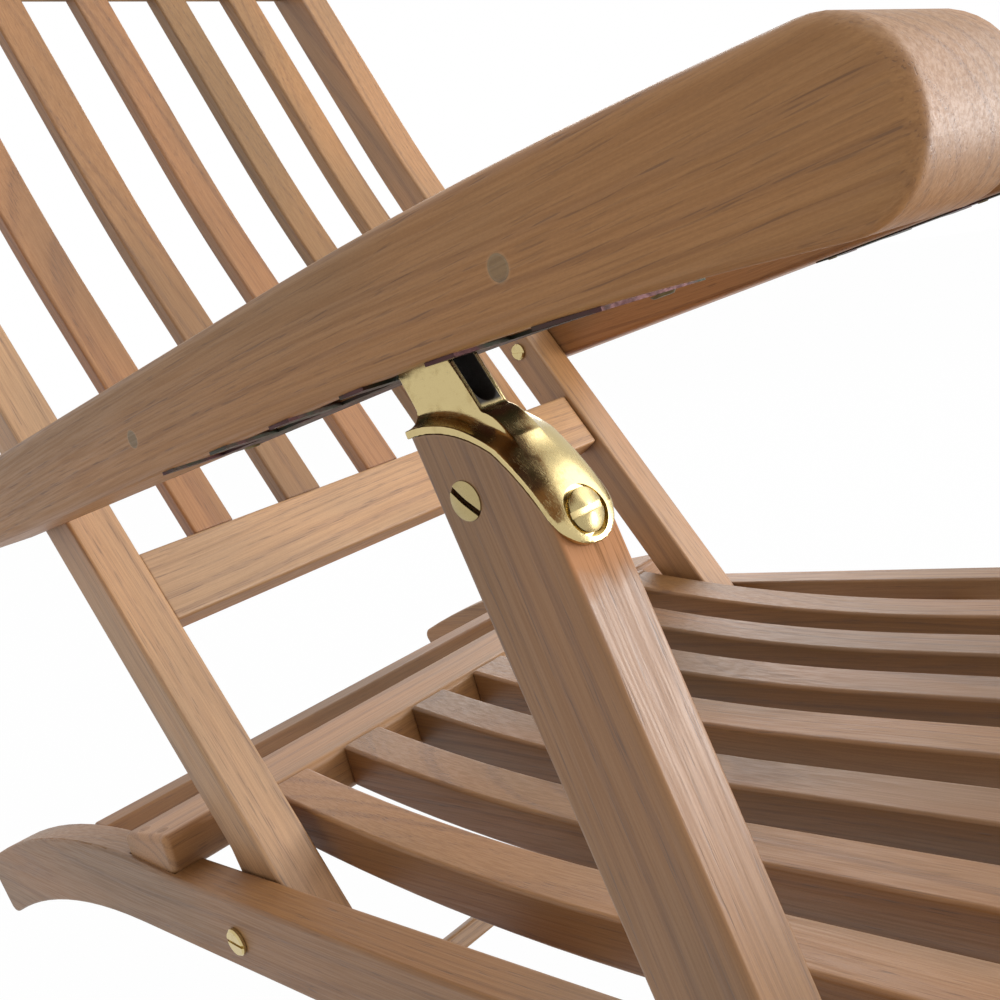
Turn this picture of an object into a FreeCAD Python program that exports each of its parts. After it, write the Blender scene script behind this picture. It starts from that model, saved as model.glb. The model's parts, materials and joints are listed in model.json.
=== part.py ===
"""Steamer chair: a folding deck chair in teak with brass fittings.

The chair faces -Y, with +X on the sitter's left and +Z up, and stands on z = 0.
Outlines are drawn in side view as (forward, up) pairs, where forward is -Y.
Each group of pieces has a side-view frame of its own: the seat frame turns about the
back pivot, and the back, arms, legs and leg rest each turn about the bolt that carries them.
"""
import FreeCAD, Part
import math
import os
from types import SimpleNamespace

import Sketcher

# Driving dimensions in millimetres and degrees
SIZES = {
    # whole chair
    "seat_tilt": 6.0,
    "pivot_height": 275.0,
    "side_gap": 1.0,
    "running_clearance": 0.05,
    "stop_gap": 0.3,
    "edge_ease": 2.5,
    # side rails
    "rail_spread": 530.0,
    "rail_thick": 24.8,
    "rail_depth": 46.0,
    "rail_top": 26.4,
    "rail_front": 562.0,
    "rail_front_round": 14.0,
    "tail_hump": 3.6,
    "tail_start": 130.0,
    "tail_radius": 760.0,
    "tail_sweep": 22.7,
    "tail_corner": 9.0,
    # cross pieces of the seat
    "seat_rail_front": 42.0,
    "seat_rail_behind": 65.5,
    "seat_rail_width": 60.0,
    "seat_rail_low": 23.0,
    "seat_rail_rear_top": 43.0,
    "seat_rail_inset": 4.0,
    "seat_rail_ease": 4.5,
    "stile_passage": 4.0,
    "peg_radius": 4.0,
    "peg_length": 38.0,
    "peg_spacing": 26.0,
    "stretcher_thick": 20.6,
    "stretcher_depth": 43.0,
    "stretcher_behind": 211.0,
    "stretcher_top": 22.9,
    "front_rail_thick": 24.0,
    "front_rail_depth": 40.0,
    "front_rail_ahead": 520.0,
    # seat slats
    "slat_pitch": 61.0,
    "slat_width": 31.5,
    "slat_depth": 28.5,
    "dish_radius": 1450.0,
    "dish_ahead": 235.0,
    "dish_height": 26.8,
    # back
    "back_lean": 28.4,
    "stile_thick": 30.6,
    "stile_depth": 34.6,
    "stile_front": 26.9,
    "stile_heel": 19.9,
    "stile_taper": 46.8,
    "stile_foot": 26.0,
    "stile_heel_round": 16.0,
    "stile_toe_round": 6.0,
    "stile_bend_start": 424.0,
    "stile_bend": 5.7,
    "stile_bend_radius": 1200.0,
    "stile_upper": 250.0,
    "stile_top_round": 9.0,
    "back_rail_setback": 4.0,
    "back_rail_thick": 22.0,
    "back_rail_start": 181.0,
    "back_rail_depth": 49.7,
    "back_slat_width": 30.0,
    "back_slat_thick": 14.0,
    "head_rail_depth": 64.0,
    "head_rail_thick": 24.0,
    "head_rail_arch": 26.0,
    "head_rail_below_top": 18.0,
    # arms
    "arm_bolt_up": 290.0,
    "arm_slope": 6.17,
    "arm_width": 60.0,
    "arm_depth": 41.2,
    "arm_below_bolt": 17.6,
    "arm_behind_bolt": 34.0,
    "arm_straight": 400.0,
    "arm_bend_radius": 1480.0,
    "arm_top_radius": 2170.0,
    "arm_reach": 614.4,
    "nose_top_round": 22.0,
    "nose_low_round": 20.5,
    "arm_tail_round": 15.0,
    "arm_ease": 5.0,
    "plug_radius": 3.8,
    "plug_depth": 9.0,
    "rear_plug_ahead": 272.0,
    "front_plug_ahead": 498.0,
    "plug_above_edge": 17.0,
    # notched plate under each arm
    "plate_thick": 1.2,
    "plate_start": 278.0,
    "plate_end": 524.0,
    "plate_inset": 4.0,
    "plate_width": 46.0,
    "notch_width": 31.6,
    "notch_play": 2.0,
    "notch_pitch": 45.0,
    "groove_depth": 7.0,
    "plate_screw_radius": 2.0,
    "plate_screw_head": 3.8,
    "plate_screw_rise": 0.8,
    "plate_screw_inset": 7.6,
    "plate_screw_margin": 9.5,
    "plate_screw_length": 16.0,
    # front legs and their brass brackets
    "front_leg_ahead": 380.8,
    "front_leg_lean": 11.7,
    "front_leg_width": 42.6,
    "front_leg_thick": 27.0,
    "front_leg_gap": 1.2,
    "leg_top_rear": 274.9,
    "leg_top_radius": 46.5,
    "leg_shoulder_ahead": 10.2,
    "leg_shoulder_up": 260.0,
    "leg_shoulder_radius": 80.0,
    "leg_top_front": 233.7,
    "bracket_thick": 3.0,
    "bracket_tongue_end": 224.5,
    "bracket_tongue_round": 12.8,
    "bracket_overhang": 1.2,
    "bracket_cove": 5.5,
    "post_width": 12.5,
    "post_rear_foot": 20.0,
    "post_front_foot": 8.6,
    "post_rear_top": 23.7,
    "post_front_top": 0.9,
    "post_engagement": 3.0,
    "post_slot_width": 8.5,
    "post_slot_floor": 273.0,
    "tongue_screw_up": 234.5,
    "tongue_hole_radius": 8.7,
    "tongue_head_radius": 7.3,
    "tongue_head_height": 4.6,
    "tongue_slot_depth": 2.1,
    "tongue_shank_radius": 2.5,
    "tongue_shank_length": 24.0,
    "side_screw_up": 250.5,
    "side_screw_behind": 8.0,
    "side_head_radius": 6.4,
    "side_head_depth": 2.4,
    "side_shank_radius": 3.0,
    "side_shank_length": 22.0,
    # rear legs
    "rear_leg_ahead": 200.0,
    "rear_leg_up": -9.0,
    "rear_leg_lean": 56.0,
    "rear_leg_width": 28.0,
    "rear_leg_thick": 18.0,
    "rear_stretcher_down": 430.0,
    "leg_stretcher_depth": 24.0,
    "leg_stretcher_thick": 16.0,
    "leg_stop_length": 26.0,
    "leg_stop_width": 16.0,
    "leg_stop_thick": 18.0,
    "rear_stop_down": 32.0,
    "stop_pin_radius": 3.0,
    "stop_pin_up": 24.0,
    "stop_pin_depth": 18.0,
    "stop_pin_reach": 22.0,
    # leg rest
    "hinge_ahead": 545.0,
    "hinge_up": -6.0,
    "leg_rest_drop": 10.0,
    "leg_rest_reach": 455.0,
    "leg_rest_rail_depth": 32.0,
    "leg_rest_rail_thick": 25.0,
    "leg_rest_cross_start": 30.0,
    "leg_rest_cross_thick": 22.0,
    "leg_rest_cross_depth": 30.0,
    "leg_rest_cross_end": 442.0,
    "leg_rest_slat_depth": 20.0,
    "leg_rest_top": 15.5,
    "rest_leg_ahead": 405.0,
    "rest_leg_lean": 6.0,
    "rest_leg_width": 30.0,
    "rest_leg_thick": 24.0,
    "rest_stretcher_down": 230.0,
    # bolts
    "bolt_radius": 4.0,
    "bolt_head_radius": 8.2,
    "bolt_head_height": 2.6,
    "bolt_dome": 1.0,
    "bolt_slot_width": 1.8,
    "bolt_slot_depth": 1.4,
    "nut_radius": 6.2,
    "nut_thick": 3.5,
    "arm_bolt_depth": 40.0,
    "arm_bolt_head_radius": 7.4,
    # where the back pivot lies along Y, measured from the finished outline
    "middle_shift": 0.0,
}
SEAT_SLATS = 7
BACK_SLATS = 5
NOTCHES = 5
NOTCH_IN_USE = 3
SIDES = {"right": -1, "left": 1}
SAME_WAY = 0.97
NEAR_END = 0.9
FLAT = 1e-4


class Size:
    """A length or angle with the sheet formula that gives it."""

    def __init__(self, value, formula):
        self.value = value
        self.formula = formula

    def _join(self, other, sign, result):
        return Size(result, "(%s %s %s)" % (self.formula, sign, size(other).formula))

    def __add__(self, other):
        return self._join(other, "+", self.value + size(other).value)

    def __sub__(self, other):
        return self._join(other, "-", self.value - size(other).value)

    def __mul__(self, other):
        return self._join(other, "*", self.value * size(other).value)

    def __truediv__(self, other):
        return self._join(other, "/", self.value / size(other).value)

    def __neg__(self):
        return Size(-self.value, "(-1 * %s)" % self.formula)

    def __rsub__(self, other):
        return size(other) - self

    def __rmul__(self, other):
        return size(other) * self


def size(number):
    return number if isinstance(number, Size) else Size(number, "(%r)" % number)


def sine(angle):
    return Size(math.sin(math.radians(angle.value)), "sin(%s)" % angle.formula)


def cosine(angle):
    return Size(math.cos(math.radians(angle.value)), "cos(%s)" % angle.formula)


def root(square):
    return Size(math.sqrt(square.value), "sqrt(%s)" % square.formula)


def bind(thing, **formulas):
    """Tie properties of a document object to sizes; a double underscore stands for a dot."""
    for name, wanted in formulas.items():
        thing.setExpression(name.replace("__", "."), size(wanted).formula)


class Frame:
    """A side-view frame: an origin in the chair's own frame and a tilt that lifts its front."""

    def __init__(self, forward, up, tilt):
        self.forward = forward
        self.up = up
        self.tilt = tilt

    def at(self, forward, up):
        """The (forward, up) of a local point in the chair's frame."""
        ahead = self.forward + forward * cosine(self.tilt) - up * sine(self.tilt)
        above = self.up + forward * sine(self.tilt) + up * cosine(self.tilt)
        return ahead, above

    def child(self, forward, up, tilt):
        ahead, above = self.at(forward, up)
        return Frame(ahead, above, tilt)

    def floor_below(self, forward):
        """Local height at which a point this far forward meets the floor."""
        return -((self.up + forward * sine(self.tilt)) / cosine(self.tilt))

    def carry(self, thing):
        """Place a document object in this frame."""
        thing.Placement = FreeCAD.Placement(FreeCAD.Vector(), FreeCAD.Rotation(X_AXIS, 1))
        bind(thing, Placement__Base__y=-self.forward, Placement__Base__z=self.up,
             Placement__Rotation__Angle=-self.tilt)


class Corner:
    """A corner of an outline; an arc of the given radius may lead on to the next one.

    bulge is +1 where that arc swells to the left of the way round, and -1 to the right.
    """

    def __init__(self, forward, up, radius=None, bulge=1):
        self.across = -size(forward)
        self.up = size(up)
        self.radius = radius
        self.bulge = bulge

    def point(self):
        return FreeCAD.Vector(self.across.value, self.up.value, 0)


X_AXIS = FreeCAD.Vector(1, 0, 0)


def turned_along_x(way):
    """Placement that turns a round piece's axis from +Z to +X, or to -X."""
    return FreeCAD.Placement(FreeCAD.Vector(), FreeCAD.Rotation(FreeCAD.Vector(0, 1, 0), 90 * way))


doc = FreeCAD.newDocument("SteamerChair")
sheet = doc.addObject("Spreadsheet::Sheet", "Sizes")
for row, (name, number) in enumerate(SIZES.items(), start=1):
    sheet.set("A%d" % row, name)
    sheet.set("B%d" % row, str(number))
    sheet.setAlias("B%d" % row, name)
doc.recompute()
S = SimpleNamespace(**{name: Size(number, "Sizes." + name) for name, number in SIZES.items()})
pieces = []


def piece(thing, label):
    """Name a finished sub-part and keep it for the hand-out."""
    thing.Label = label
    pieces.append(thing)
    return thing


def origin_plane(body, role):
    return next(feature for feature in body.Origin.OriginFeatures if feature.Role == role)


def attach(feature, body, role, along=0, across=0, out=0):
    """Put a sketch or primitive on an origin plane of its body, moved in the plane and off it."""
    feature.AttachmentSupport = (origin_plane(body, role), [""])
    feature.MapMode = "FlatFace"
    bind(feature, AttachmentOffset__Base__x=along, AttachmentOffset__Base__y=across,
         AttachmentOffset__Base__z=out)


def arc_through(first, last, radius, bulge):
    """The minor arc between two points, swelling to one side of the way between them."""
    chord = last - first
    half = chord.Length / 2
    swell = radius - math.sqrt(max(radius * radius - half * half, 0))
    left = FreeCAD.Vector(-chord.y, chord.x, 0).normalize()
    return Part.Arc(first, (first + last) / 2 + left * (bulge * swell), last)


def draw(sketch, corners):
    """Draw a closed outline with every corner and radius tied to its size."""
    edges = []
    for index, corner in enumerate(corners):
        first = corner.point()
        last = corners[(index + 1) % len(corners)].point()
        start, end = 1, 2
        if corner.radius is None:
            shape = Part.LineSegment(first, last)
        else:
            shape = arc_through(first, last, corner.radius.value, corner.bulge)
            if corner.bulge > 0:
                start, end = 2, 1
        edges.append((sketch.addGeometry(shape, False), start, end))
    for index, corner in enumerate(corners):
        edge, start, end = edges[index]
        following = edges[(index + 1) % len(edges)]
        sketch.addConstraint(Sketcher.Constraint("Coincident", edge, end, following[0], following[1]))
        for kind, wanted in (("DistanceX", corner.across), ("DistanceY", corner.up)):
            number = sketch.addConstraint(Sketcher.Constraint(kind, -1, 1, edge, start, wanted.value))
            bind(sketch, **{"Constraints[%d]" % number: wanted})
        if corner.radius is not None:
            number = sketch.addConstraint(Sketcher.Constraint("Radius", edge, corner.radius.value))
            bind(sketch, **{"Constraints[%d]" % number: corner.radius})


def pad(body, role, corners, start, length):
    """Draw an outline on an origin plane and pad it from start for a length."""
    sketch = body.newObject("Sketcher::SketchObject", "Outline")
    attach(sketch, body, role, out=start)
    draw(sketch, corners)
    feature = body.newObject("PartDesign::Pad", "Pad")
    feature.Profile = sketch
    bind(feature, Length=length)
    doc.recompute()
    return feature


def is_sharp(shape, edge):
    """Whether the two faces at an edge meet at a corner and not in a smooth line."""
    faces = shape.ancestorsOfType(edge, Part.Face)
    if len(faces) != 2:
        return False
    middle = edge.valueAt((edge.FirstParameter + edge.LastParameter) / 2)
    normals = [face.normalAt(*face.Surface.parameter(middle)) for face in faces]
    return normals[0].dot(normals[1]) < SAME_WAY


def round_edges(body, radius, wanted=None):
    """Round the sharp edges of a body's latest feature that the test picks."""
    base = body.Tip
    names = []
    for index, edge in enumerate(base.Shape.Edges, start=1):
        if is_sharp(base.Shape, edge) and (wanted is None or wanted(edge)):
            names.append("Edge%d" % index)
    feature = body.newObject("PartDesign::Fillet", "Round")
    feature.Base = (base, names)
    bind(feature, Radius=radius)
    body.Tip = feature
    doc.recompute()


def along_x(edge):
    ends = [vertex.Point for vertex in edge.Vertexes]
    return len(ends) == 2 and abs((ends[1] - ends[0]).normalize().x) > SAME_WAY


def board(label, frame, corners, start, thick, ease=None, role="YZ_Plane"):
    """A board sawn to a side-view outline, with its edges eased."""
    body = doc.addObject("PartDesign::Body", "Board")
    pad(body, role, corners, start, thick)
    if ease is not None:
        round_edges(body, ease)
    frame.carry(body)
    return piece(body, label)


def drill(body, role, along, across, out, length, radius):
    """Bore a round hole square to an origin plane."""
    feature = body.newObject("PartDesign::SubtractiveCylinder", "Bore")
    attach(feature, body, role, along, across, out)
    bind(feature, Radius=radius, Height=length)
    body.Tip = feature
    doc.recompute()


def drill_across(body, forward, up, start, length, radius):
    """Bore a hole along X."""
    drill(body, "YZ_Plane", -size(forward), up, start, length, radius)


def mortise(body, left, rear, low, wide, long, tall):
    """Cut a square-sided pocket; left, rear and low are its -X, +Y and -Z corner."""
    feature = body.newObject("PartDesign::SubtractiveBox", "Mortise")
    attach(feature, body, "XY_Plane", left, rear, low)
    bind(feature, Length=wide, Width=long, Height=tall)
    body.Tip = feature
    doc.recompute()


def rectangle(rear, front, low, high):
    return [Corner(rear, low), Corner(front, low), Corner(front, high), Corner(rear, high)]


def side_start(side, inner, thick):
    """Where along X the pad of a piece begins whose inner face is this far from the middle."""
    return inner if side > 0 else -(inner + thick)


# Faces across the chair, measured from the middle
RAIL_OUTER = S.rail_spread / 2
RAIL_INNER = RAIL_OUTER - S.rail_thick
STILE_OUTER = RAIL_INNER - S.side_gap
STILE_INNER = STILE_OUTER - S.stile_thick
ARM_INNER = STILE_OUTER + S.side_gap
LEG_INNER = RAIL_OUTER + S.front_leg_gap
LEG_MIDDLE = LEG_INNER + S.front_leg_thick / 2
LEG_OUTER = LEG_INNER + S.front_leg_thick
REAR_LEG_INNER = RAIL_INNER - S.side_gap - S.rear_leg_thick
REST_RAIL_INNER = RAIL_INNER - S.side_gap - S.leg_rest_rail_thick
REST_LEG_INNER = REST_RAIL_INNER + S.leg_rest_rail_thick + S.side_gap
BORE = S.bolt_radius + S.running_clearance

# Side-view frames, each at rest
RAIL_MIDDLE = S.rail_top - S.rail_depth / 2
STILE_MIDDLE = S.stile_front - S.stile_depth / 2
ARM_BOTTOM = -S.arm_below_bolt
SEAT = Frame(S.middle_shift, S.pivot_height, S.seat_tilt)
BACK = Frame(SEAT.forward, SEAT.up, S.seat_tilt + S.back_lean)
ARM = BACK.child(STILE_MIDDLE, S.arm_bolt_up, S.seat_tilt + S.arm_slope)
LEG = SEAT.child(S.front_leg_ahead, RAIL_MIDDLE, S.seat_tilt + S.front_leg_lean)
REAR_LEG = SEAT.child(S.rear_leg_ahead, S.rear_leg_up, -S.rear_leg_lean)
REST = SEAT.child(S.hinge_ahead, S.hinge_up, S.seat_tilt - S.leg_rest_drop)
REST_LEG = REST.child(S.rest_leg_ahead, size(0), S.rest_leg_lean)


# Seat frame
def side_rail(name, side):
    """A side rail with a straight seat part and a tail that curves down behind the back."""
    bottom = S.rail_top - S.rail_depth
    hump = S.rail_top + S.tail_hump
    under = S.tail_radius - S.rail_depth - S.tail_hump
    middle = hump - S.tail_radius
    tail_top = Corner(-S.tail_start - S.tail_radius * sine(S.tail_sweep),
                      middle + S.tail_radius * cosine(S.tail_sweep))
    tail_under = Corner(-S.tail_start - under * sine(S.tail_sweep),
                        middle + under * cosine(S.tail_sweep), under, -1)
    outline = [Corner(S.rail_front, bottom), Corner(S.rail_front, S.rail_top),
               Corner(-S.seat_rail_behind, S.rail_top), Corner(-S.tail_start, hump, S.tail_radius, 1),
               tail_top, tail_under, Corner(-S.tail_start, bottom)]
    start = side_start(side, RAIL_INNER, S.rail_thick)
    body = doc.addObject("PartDesign::Body", "SideRail")
    pad(body, "YZ_Plane", outline, start, S.rail_thick)
    far = NEAR_END * S.rail_front.value
    tail = NEAR_END * (S.tail_start + S.tail_radius * sine(S.tail_sweep)).value
    round_edges(body, S.rail_front_round, lambda edge: along_x(edge) and edge.CenterOfMass.y < -far)
    round_edges(body, S.tail_corner, lambda edge: along_x(edge) and edge.CenterOfMass.y > tail)
    round_edges(body, S.edge_ease, lambda edge: not along_x(edge))
    seat = S.rail_thick - S.seat_rail_inset
    mortise(body, side_start(side, RAIL_INNER, seat), S.seat_rail_behind, S.seat_rail_low, seat,
            S.seat_rail_width, S.rail_depth)
    for forward, up in ((0, 0), (S.rear_leg_ahead, S.rear_leg_up),
                        (S.front_leg_ahead, RAIL_MIDDLE), (S.hinge_ahead, S.hinge_up)):
        drill_across(body, forward, up, start, S.rail_thick, BORE)
    for offset in (-0.5, 0.5):
        drill(body, "XY_Plane", side * (RAIL_OUTER - S.rail_thick / 2), peg_place(offset), peg_foot(offset),
              S.peg_length, S.peg_radius)
    pin_forward, pin_up = Frame(S.front_leg_ahead, RAIL_MIDDLE, S.front_leg_lean).at(*front_leg_stop())
    drill_across(body, pin_forward, pin_up, side_start(side, RAIL_OUTER - S.stop_pin_depth, S.stop_pin_depth),
                 S.stop_pin_depth, S.stop_pin_radius)
    SEAT.carry(body)
    return piece(body, "side_rail_" + name)


def peg_place(offset):
    """How far behind the pivot a peg of the rear seat rail stands."""
    return S.seat_rail_behind + S.seat_rail_width / 2 + offset * S.peg_spacing


def peg_foot(offset):
    """Height of a peg's foot; its head is flush with the sloping top of the rear seat rail."""
    crest = dish(-S.seat_rail_front)
    rear = S.seat_rail_behind + S.seat_rail_width
    slope = (crest - S.seat_rail_rear_top) / (rear - S.seat_rail_front)
    return S.seat_rail_rear_top + (rear - peg_place(offset)) * slope - S.peg_length


def rear_seat_rail():
    """The broad rail across the back of the seat, let into both side rails and pegged down.

    Its top falls away behind, and its ends are cut back to let the stiles pass.
    """
    half = RAIL_OUTER - S.seat_rail_inset
    rear = -(S.seat_rail_behind + S.seat_rail_width)
    front = -S.seat_rail_front
    outline = [Corner(rear, S.seat_rail_low), Corner(front, S.seat_rail_low), Corner(front, dish(front)),
               Corner(rear, S.seat_rail_rear_top)]
    body = doc.addObject("PartDesign::Body", "RearRail")
    pad(body, "YZ_Plane", outline, -half, 2 * half)
    shoulder = STILE_INNER - S.stile_passage
    for side in SIDES.values():
        mortise(body, side_start(side, shoulder, half - shoulder), S.seat_rail_front, S.seat_rail_low,
                half - shoulder, S.seat_rail_behind - S.seat_rail_front, S.rail_depth)
    round_edges(body, S.seat_rail_ease)
    for side in SIDES.values():
        for offset in (-0.5, 0.5):
            drill(body, "XY_Plane", side * (RAIL_OUTER - S.rail_thick / 2), peg_place(offset),
                  peg_foot(offset), S.rail_depth + S.peg_length, S.peg_radius)
    SEAT.carry(body)
    piece(body, "rear_seat_rail")


def cylinder(radius, height):
    thing = doc.addObject("Part::Cylinder", "Round")
    bind(thing, Radius=radius, Height=height)
    return thing


def group(label, members):
    """Like pieces that share one node, each its own solid."""
    bundle = doc.addObject("Part::Compound", "Group")
    bundle.Links = members
    return piece(bundle, label)


def seat_rail_pegs():
    """Teak pegs that show as round plugs on the rear seat rail."""
    pegs = []
    for side in SIDES.values():
        for offset in (-0.5, 0.5):
            peg = cylinder(S.peg_radius, S.peg_length)
            SEAT.child(-peg_place(offset), peg_foot(offset), SEAT.tilt).carry(peg)
            bind(peg, Placement__Base__x=side * (RAIL_OUTER - S.rail_thick / 2))
            pegs.append(peg)
    group("seat_rail_pegs", pegs)


def cross_boards():
    """The stretcher between the tails and the rail across the front of the seat."""
    behind = rectangle(-(S.stretcher_behind + S.stretcher_thick), -S.stretcher_behind,
                       S.stretcher_top - S.stretcher_depth, S.stretcher_top)
    board("rear_stretcher", SEAT, behind, -RAIL_INNER, 2 * RAIL_INNER, S.edge_ease)
    front_top = dish(S.front_rail_ahead - S.front_rail_thick)
    ahead = rectangle(S.front_rail_ahead - S.front_rail_thick, S.front_rail_ahead,
                      front_top - S.front_rail_depth, front_top)
    board("front_seat_rail", SEAT, ahead, -RAIL_INNER, 2 * RAIL_INNER, S.edge_ease)


def dish(forward, depth=0):
    """Height of the seat this far forward, or of the slats' underside: level ahead, rising behind."""
    level = S.dish_height - depth
    if forward.value > S.dish_ahead.value:
        return level
    away = forward - S.dish_ahead
    reach = S.dish_radius + depth
    return level + reach - root(reach * reach - away * away)


def seat_slats():
    """Seven slats, dished lengthwise, between the rear and the front seat rail."""
    rear = -S.seat_rail_front
    front = S.front_rail_ahead - S.front_rail_thick
    under = S.dish_radius + S.slat_depth
    for number in range(SEAT_SLATS):
        outline = [Corner(rear, dish(rear, S.slat_depth), under, 1),
                   Corner(S.dish_ahead, S.dish_height - S.slat_depth),
                   Corner(front, dish(front, S.slat_depth)), Corner(front, dish(front)),
                   Corner(S.dish_ahead, S.dish_height, S.dish_radius, -1), Corner(rear, dish(rear))]
        middle = (number - (SEAT_SLATS - 1) / 2) * S.slat_pitch
        board("seat_slat_%d" % (number + 1), SEAT, outline, middle - S.slat_width / 2,
              S.slat_width, S.edge_ease)


def rear_leg_stops():
    """Blocks on the inside of the side rails that the rear legs bear up against."""
    edge = -(S.rear_leg_width / 2 + S.stop_gap)
    low = -(S.rear_stop_down + S.leg_stop_length)
    blocks = []
    for side in SIDES.values():
        block = doc.addObject("Part::Box", "Stop")
        bind(block, Length=S.leg_stop_thick, Width=S.leg_stop_width, Height=S.leg_stop_length)
        REAR_LEG.child(edge, low, REAR_LEG.tilt).carry(block)
        bind(block, Placement__Base__x=side_start(side, RAIL_INNER - S.leg_stop_thick, S.leg_stop_thick))
        blocks.append(block)
    group("rear_leg_stops", blocks)


def front_leg_stop():
    """Where the pin stands behind the front leg's upper part, in the leg's frame."""
    return -(S.front_leg_width / 2 + S.stop_gap + S.stop_pin_radius), S.stop_pin_up


def front_leg_stops():
    """Brass pins in the side rails that the front legs lean back on."""
    pins = []
    ahead, above = LEG.at(*front_leg_stop())
    length = S.stop_pin_depth + S.stop_pin_reach
    for side in SIDES.values():
        pin = cylinder(S.stop_pin_radius, length)
        pin.Placement = turned_along_x(1)
        bind(pin, Placement__Base__x=side_start(side, RAIL_OUTER - S.stop_pin_depth, length),
             Placement__Base__y=-ahead, Placement__Base__z=above)
        pins.append(pin)
    group("front_leg_stops", pins)


# Bolts
def bolt(frame, forward, up, head_face, side, length, head_radius=S.bolt_head_radius, inward=1):
    """A slotted bolt along X, its head on a face this far from the middle.

    inward is +1 where the shank runs towards the chair's middle, and -1 where it runs outwards.
    """
    shank = cylinder(S.bolt_radius, length)
    head = cylinder(head_radius, S.bolt_head_height - S.bolt_dome)
    bind(head, Placement__Base__z=-(S.bolt_head_height - S.bolt_dome))
    dome = doc.addObject("Part::Cone", "Dome")
    bind(dome, Radius1=head_radius - S.bolt_dome, Radius2=head_radius, Height=S.bolt_dome,
         Placement__Base__z=-S.bolt_head_height)
    whole = doc.addObject("Part::MultiFuse", "Blank")
    whole.Shapes = [shank, head, dome]
    slot = doc.addObject("Part::Box", "Slot")
    bind(slot, Length=S.bolt_slot_width, Width=2 * head_radius, Height=S.bolt_slot_depth,
         Placement__Base__x=-S.bolt_slot_width / 2, Placement__Base__y=-head_radius,
         Placement__Base__z=-S.bolt_head_height)
    cut = doc.addObject("Part::Cut", "Bolt")
    cut.Base = whole
    cut.Tool = slot
    towards = -side * inward
    cut.Placement = turned_along_x(towards)
    ahead, above = frame.at(size(forward), size(up))
    bind(cut, Placement__Base__x=side * head_face, Placement__Base__y=-ahead, Placement__Base__z=above)
    return cut


def nut(frame, forward, up, face, side):
    """A round brass nut on the inner face of what the bolt ends in."""
    ring = cylinder(S.nut_radius, S.nut_thick)
    hole = cylinder(S.bolt_radius, S.nut_thick)
    cut = doc.addObject("Part::Cut", "Nut")
    cut.Base = ring
    cut.Tool = hole
    cut.Placement = turned_along_x(-side)
    ahead, above = frame.at(size(forward), size(up))
    bind(cut, Placement__Base__x=side * face, Placement__Base__y=-ahead, Placement__Base__z=above)
    return cut


def pivot_set(label, frame, forward, up, head_face, nut_face):
    """The bolts of one pair of pivots; gives back the nuts that go on them."""
    bolts = []
    nuts = []
    for side in SIDES.values():
        length = head_face - nut_face + S.nut_thick
        bolts.append(bolt(frame, forward, up, head_face, side, length))
        nuts.append(nut(frame, forward, up, nut_face, side))
    group(label, bolts)
    return nuts


# Back
def bent(front, rise=0):
    """Corners of a face of the back: where the bend starts, where it ends, and the top.

    front is how far the face stands ahead of the pivot line.
    """
    spread = S.stile_bend_radius + S.stile_front - front
    middle = S.stile_front + S.stile_bend_radius
    low = (front, S.stile_bend_start)
    bend = (middle - spread * cosine(S.stile_bend), S.stile_bend_start + spread * sine(S.stile_bend))
    length = S.stile_upper - rise
    top = (bend[0] + length * sine(S.stile_bend), bend[1] + length * cosine(S.stile_bend))
    return low, bend, top, spread


def back_stile(name, side):
    """A side member of the back: straight below, bent a little forward above."""
    rear = S.stile_front - S.stile_depth
    foot = -S.stile_foot
    heel = S.stile_heel_round
    toe = S.stile_toe_round
    front_low, front_bend, front_top, front_radius = bent(S.stile_front)
    rear_low, rear_bend, rear_top, rear_radius = bent(rear)
    outline = [Corner(*front_low, front_radius, -1), Corner(*front_bend), Corner(*front_top),
               Corner(*rear_top), Corner(*rear_bend, rear_radius, 1), Corner(*rear_low),
               Corner(rear, S.stile_taper), Corner(-S.stile_heel, 0),
               Corner(-S.stile_heel, foot + heel, heel, 1), Corner(heel - S.stile_heel, foot),
               Corner(S.stile_front - toe, foot, toe, 1), Corner(S.stile_front, foot + toe)]
    body = doc.addObject("PartDesign::Body", "Stile")
    start = side_start(side, STILE_INNER, S.stile_thick)
    pad(body, "YZ_Plane", outline, start, S.stile_thick)
    high = NEAR_END * front_top[1].value
    round_edges(body, S.stile_top_round, lambda edge: along_x(edge) and edge.CenterOfMass.z > high)
    round_edges(body, S.edge_ease, lambda edge: not along_x(edge))
    for forward, up in ((0, 0), (STILE_MIDDLE, S.arm_bolt_up)):
        drill_across(body, forward, up, start, S.stile_thick, BORE)
    BACK.carry(body)
    piece(body, "back_stile_" + name)


def back_rails():
    """The lower rail and the arched head rail between the stiles."""
    front = S.stile_front - S.back_rail_setback
    outline = rectangle(front - S.back_rail_thick, front, S.back_rail_start,
                        S.back_rail_start + S.back_rail_depth)
    board("lower_back_rail", BACK, outline, -STILE_INNER, 2 * STILE_INNER, S.edge_ease)
    high = S.stile_upper - S.head_rail_below_top
    low = high - S.head_rail_depth
    half = STILE_INNER
    arch = (half * half + S.head_rail_arch * S.head_rail_arch) / (2 * S.head_rail_arch)
    across = [Corner(half, low), Corner(-half, low), Corner(-half, high, arch, -1), Corner(half, high)]
    board("head_rail", HEAD, across, -S.head_rail_thick, S.head_rail_thick, S.edge_ease, "XZ_Plane")


HEAD_FACE = S.stile_front - S.back_rail_setback
HEAD = BACK.child(*bent(HEAD_FACE)[1], BACK.tilt - S.stile_bend)


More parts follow.
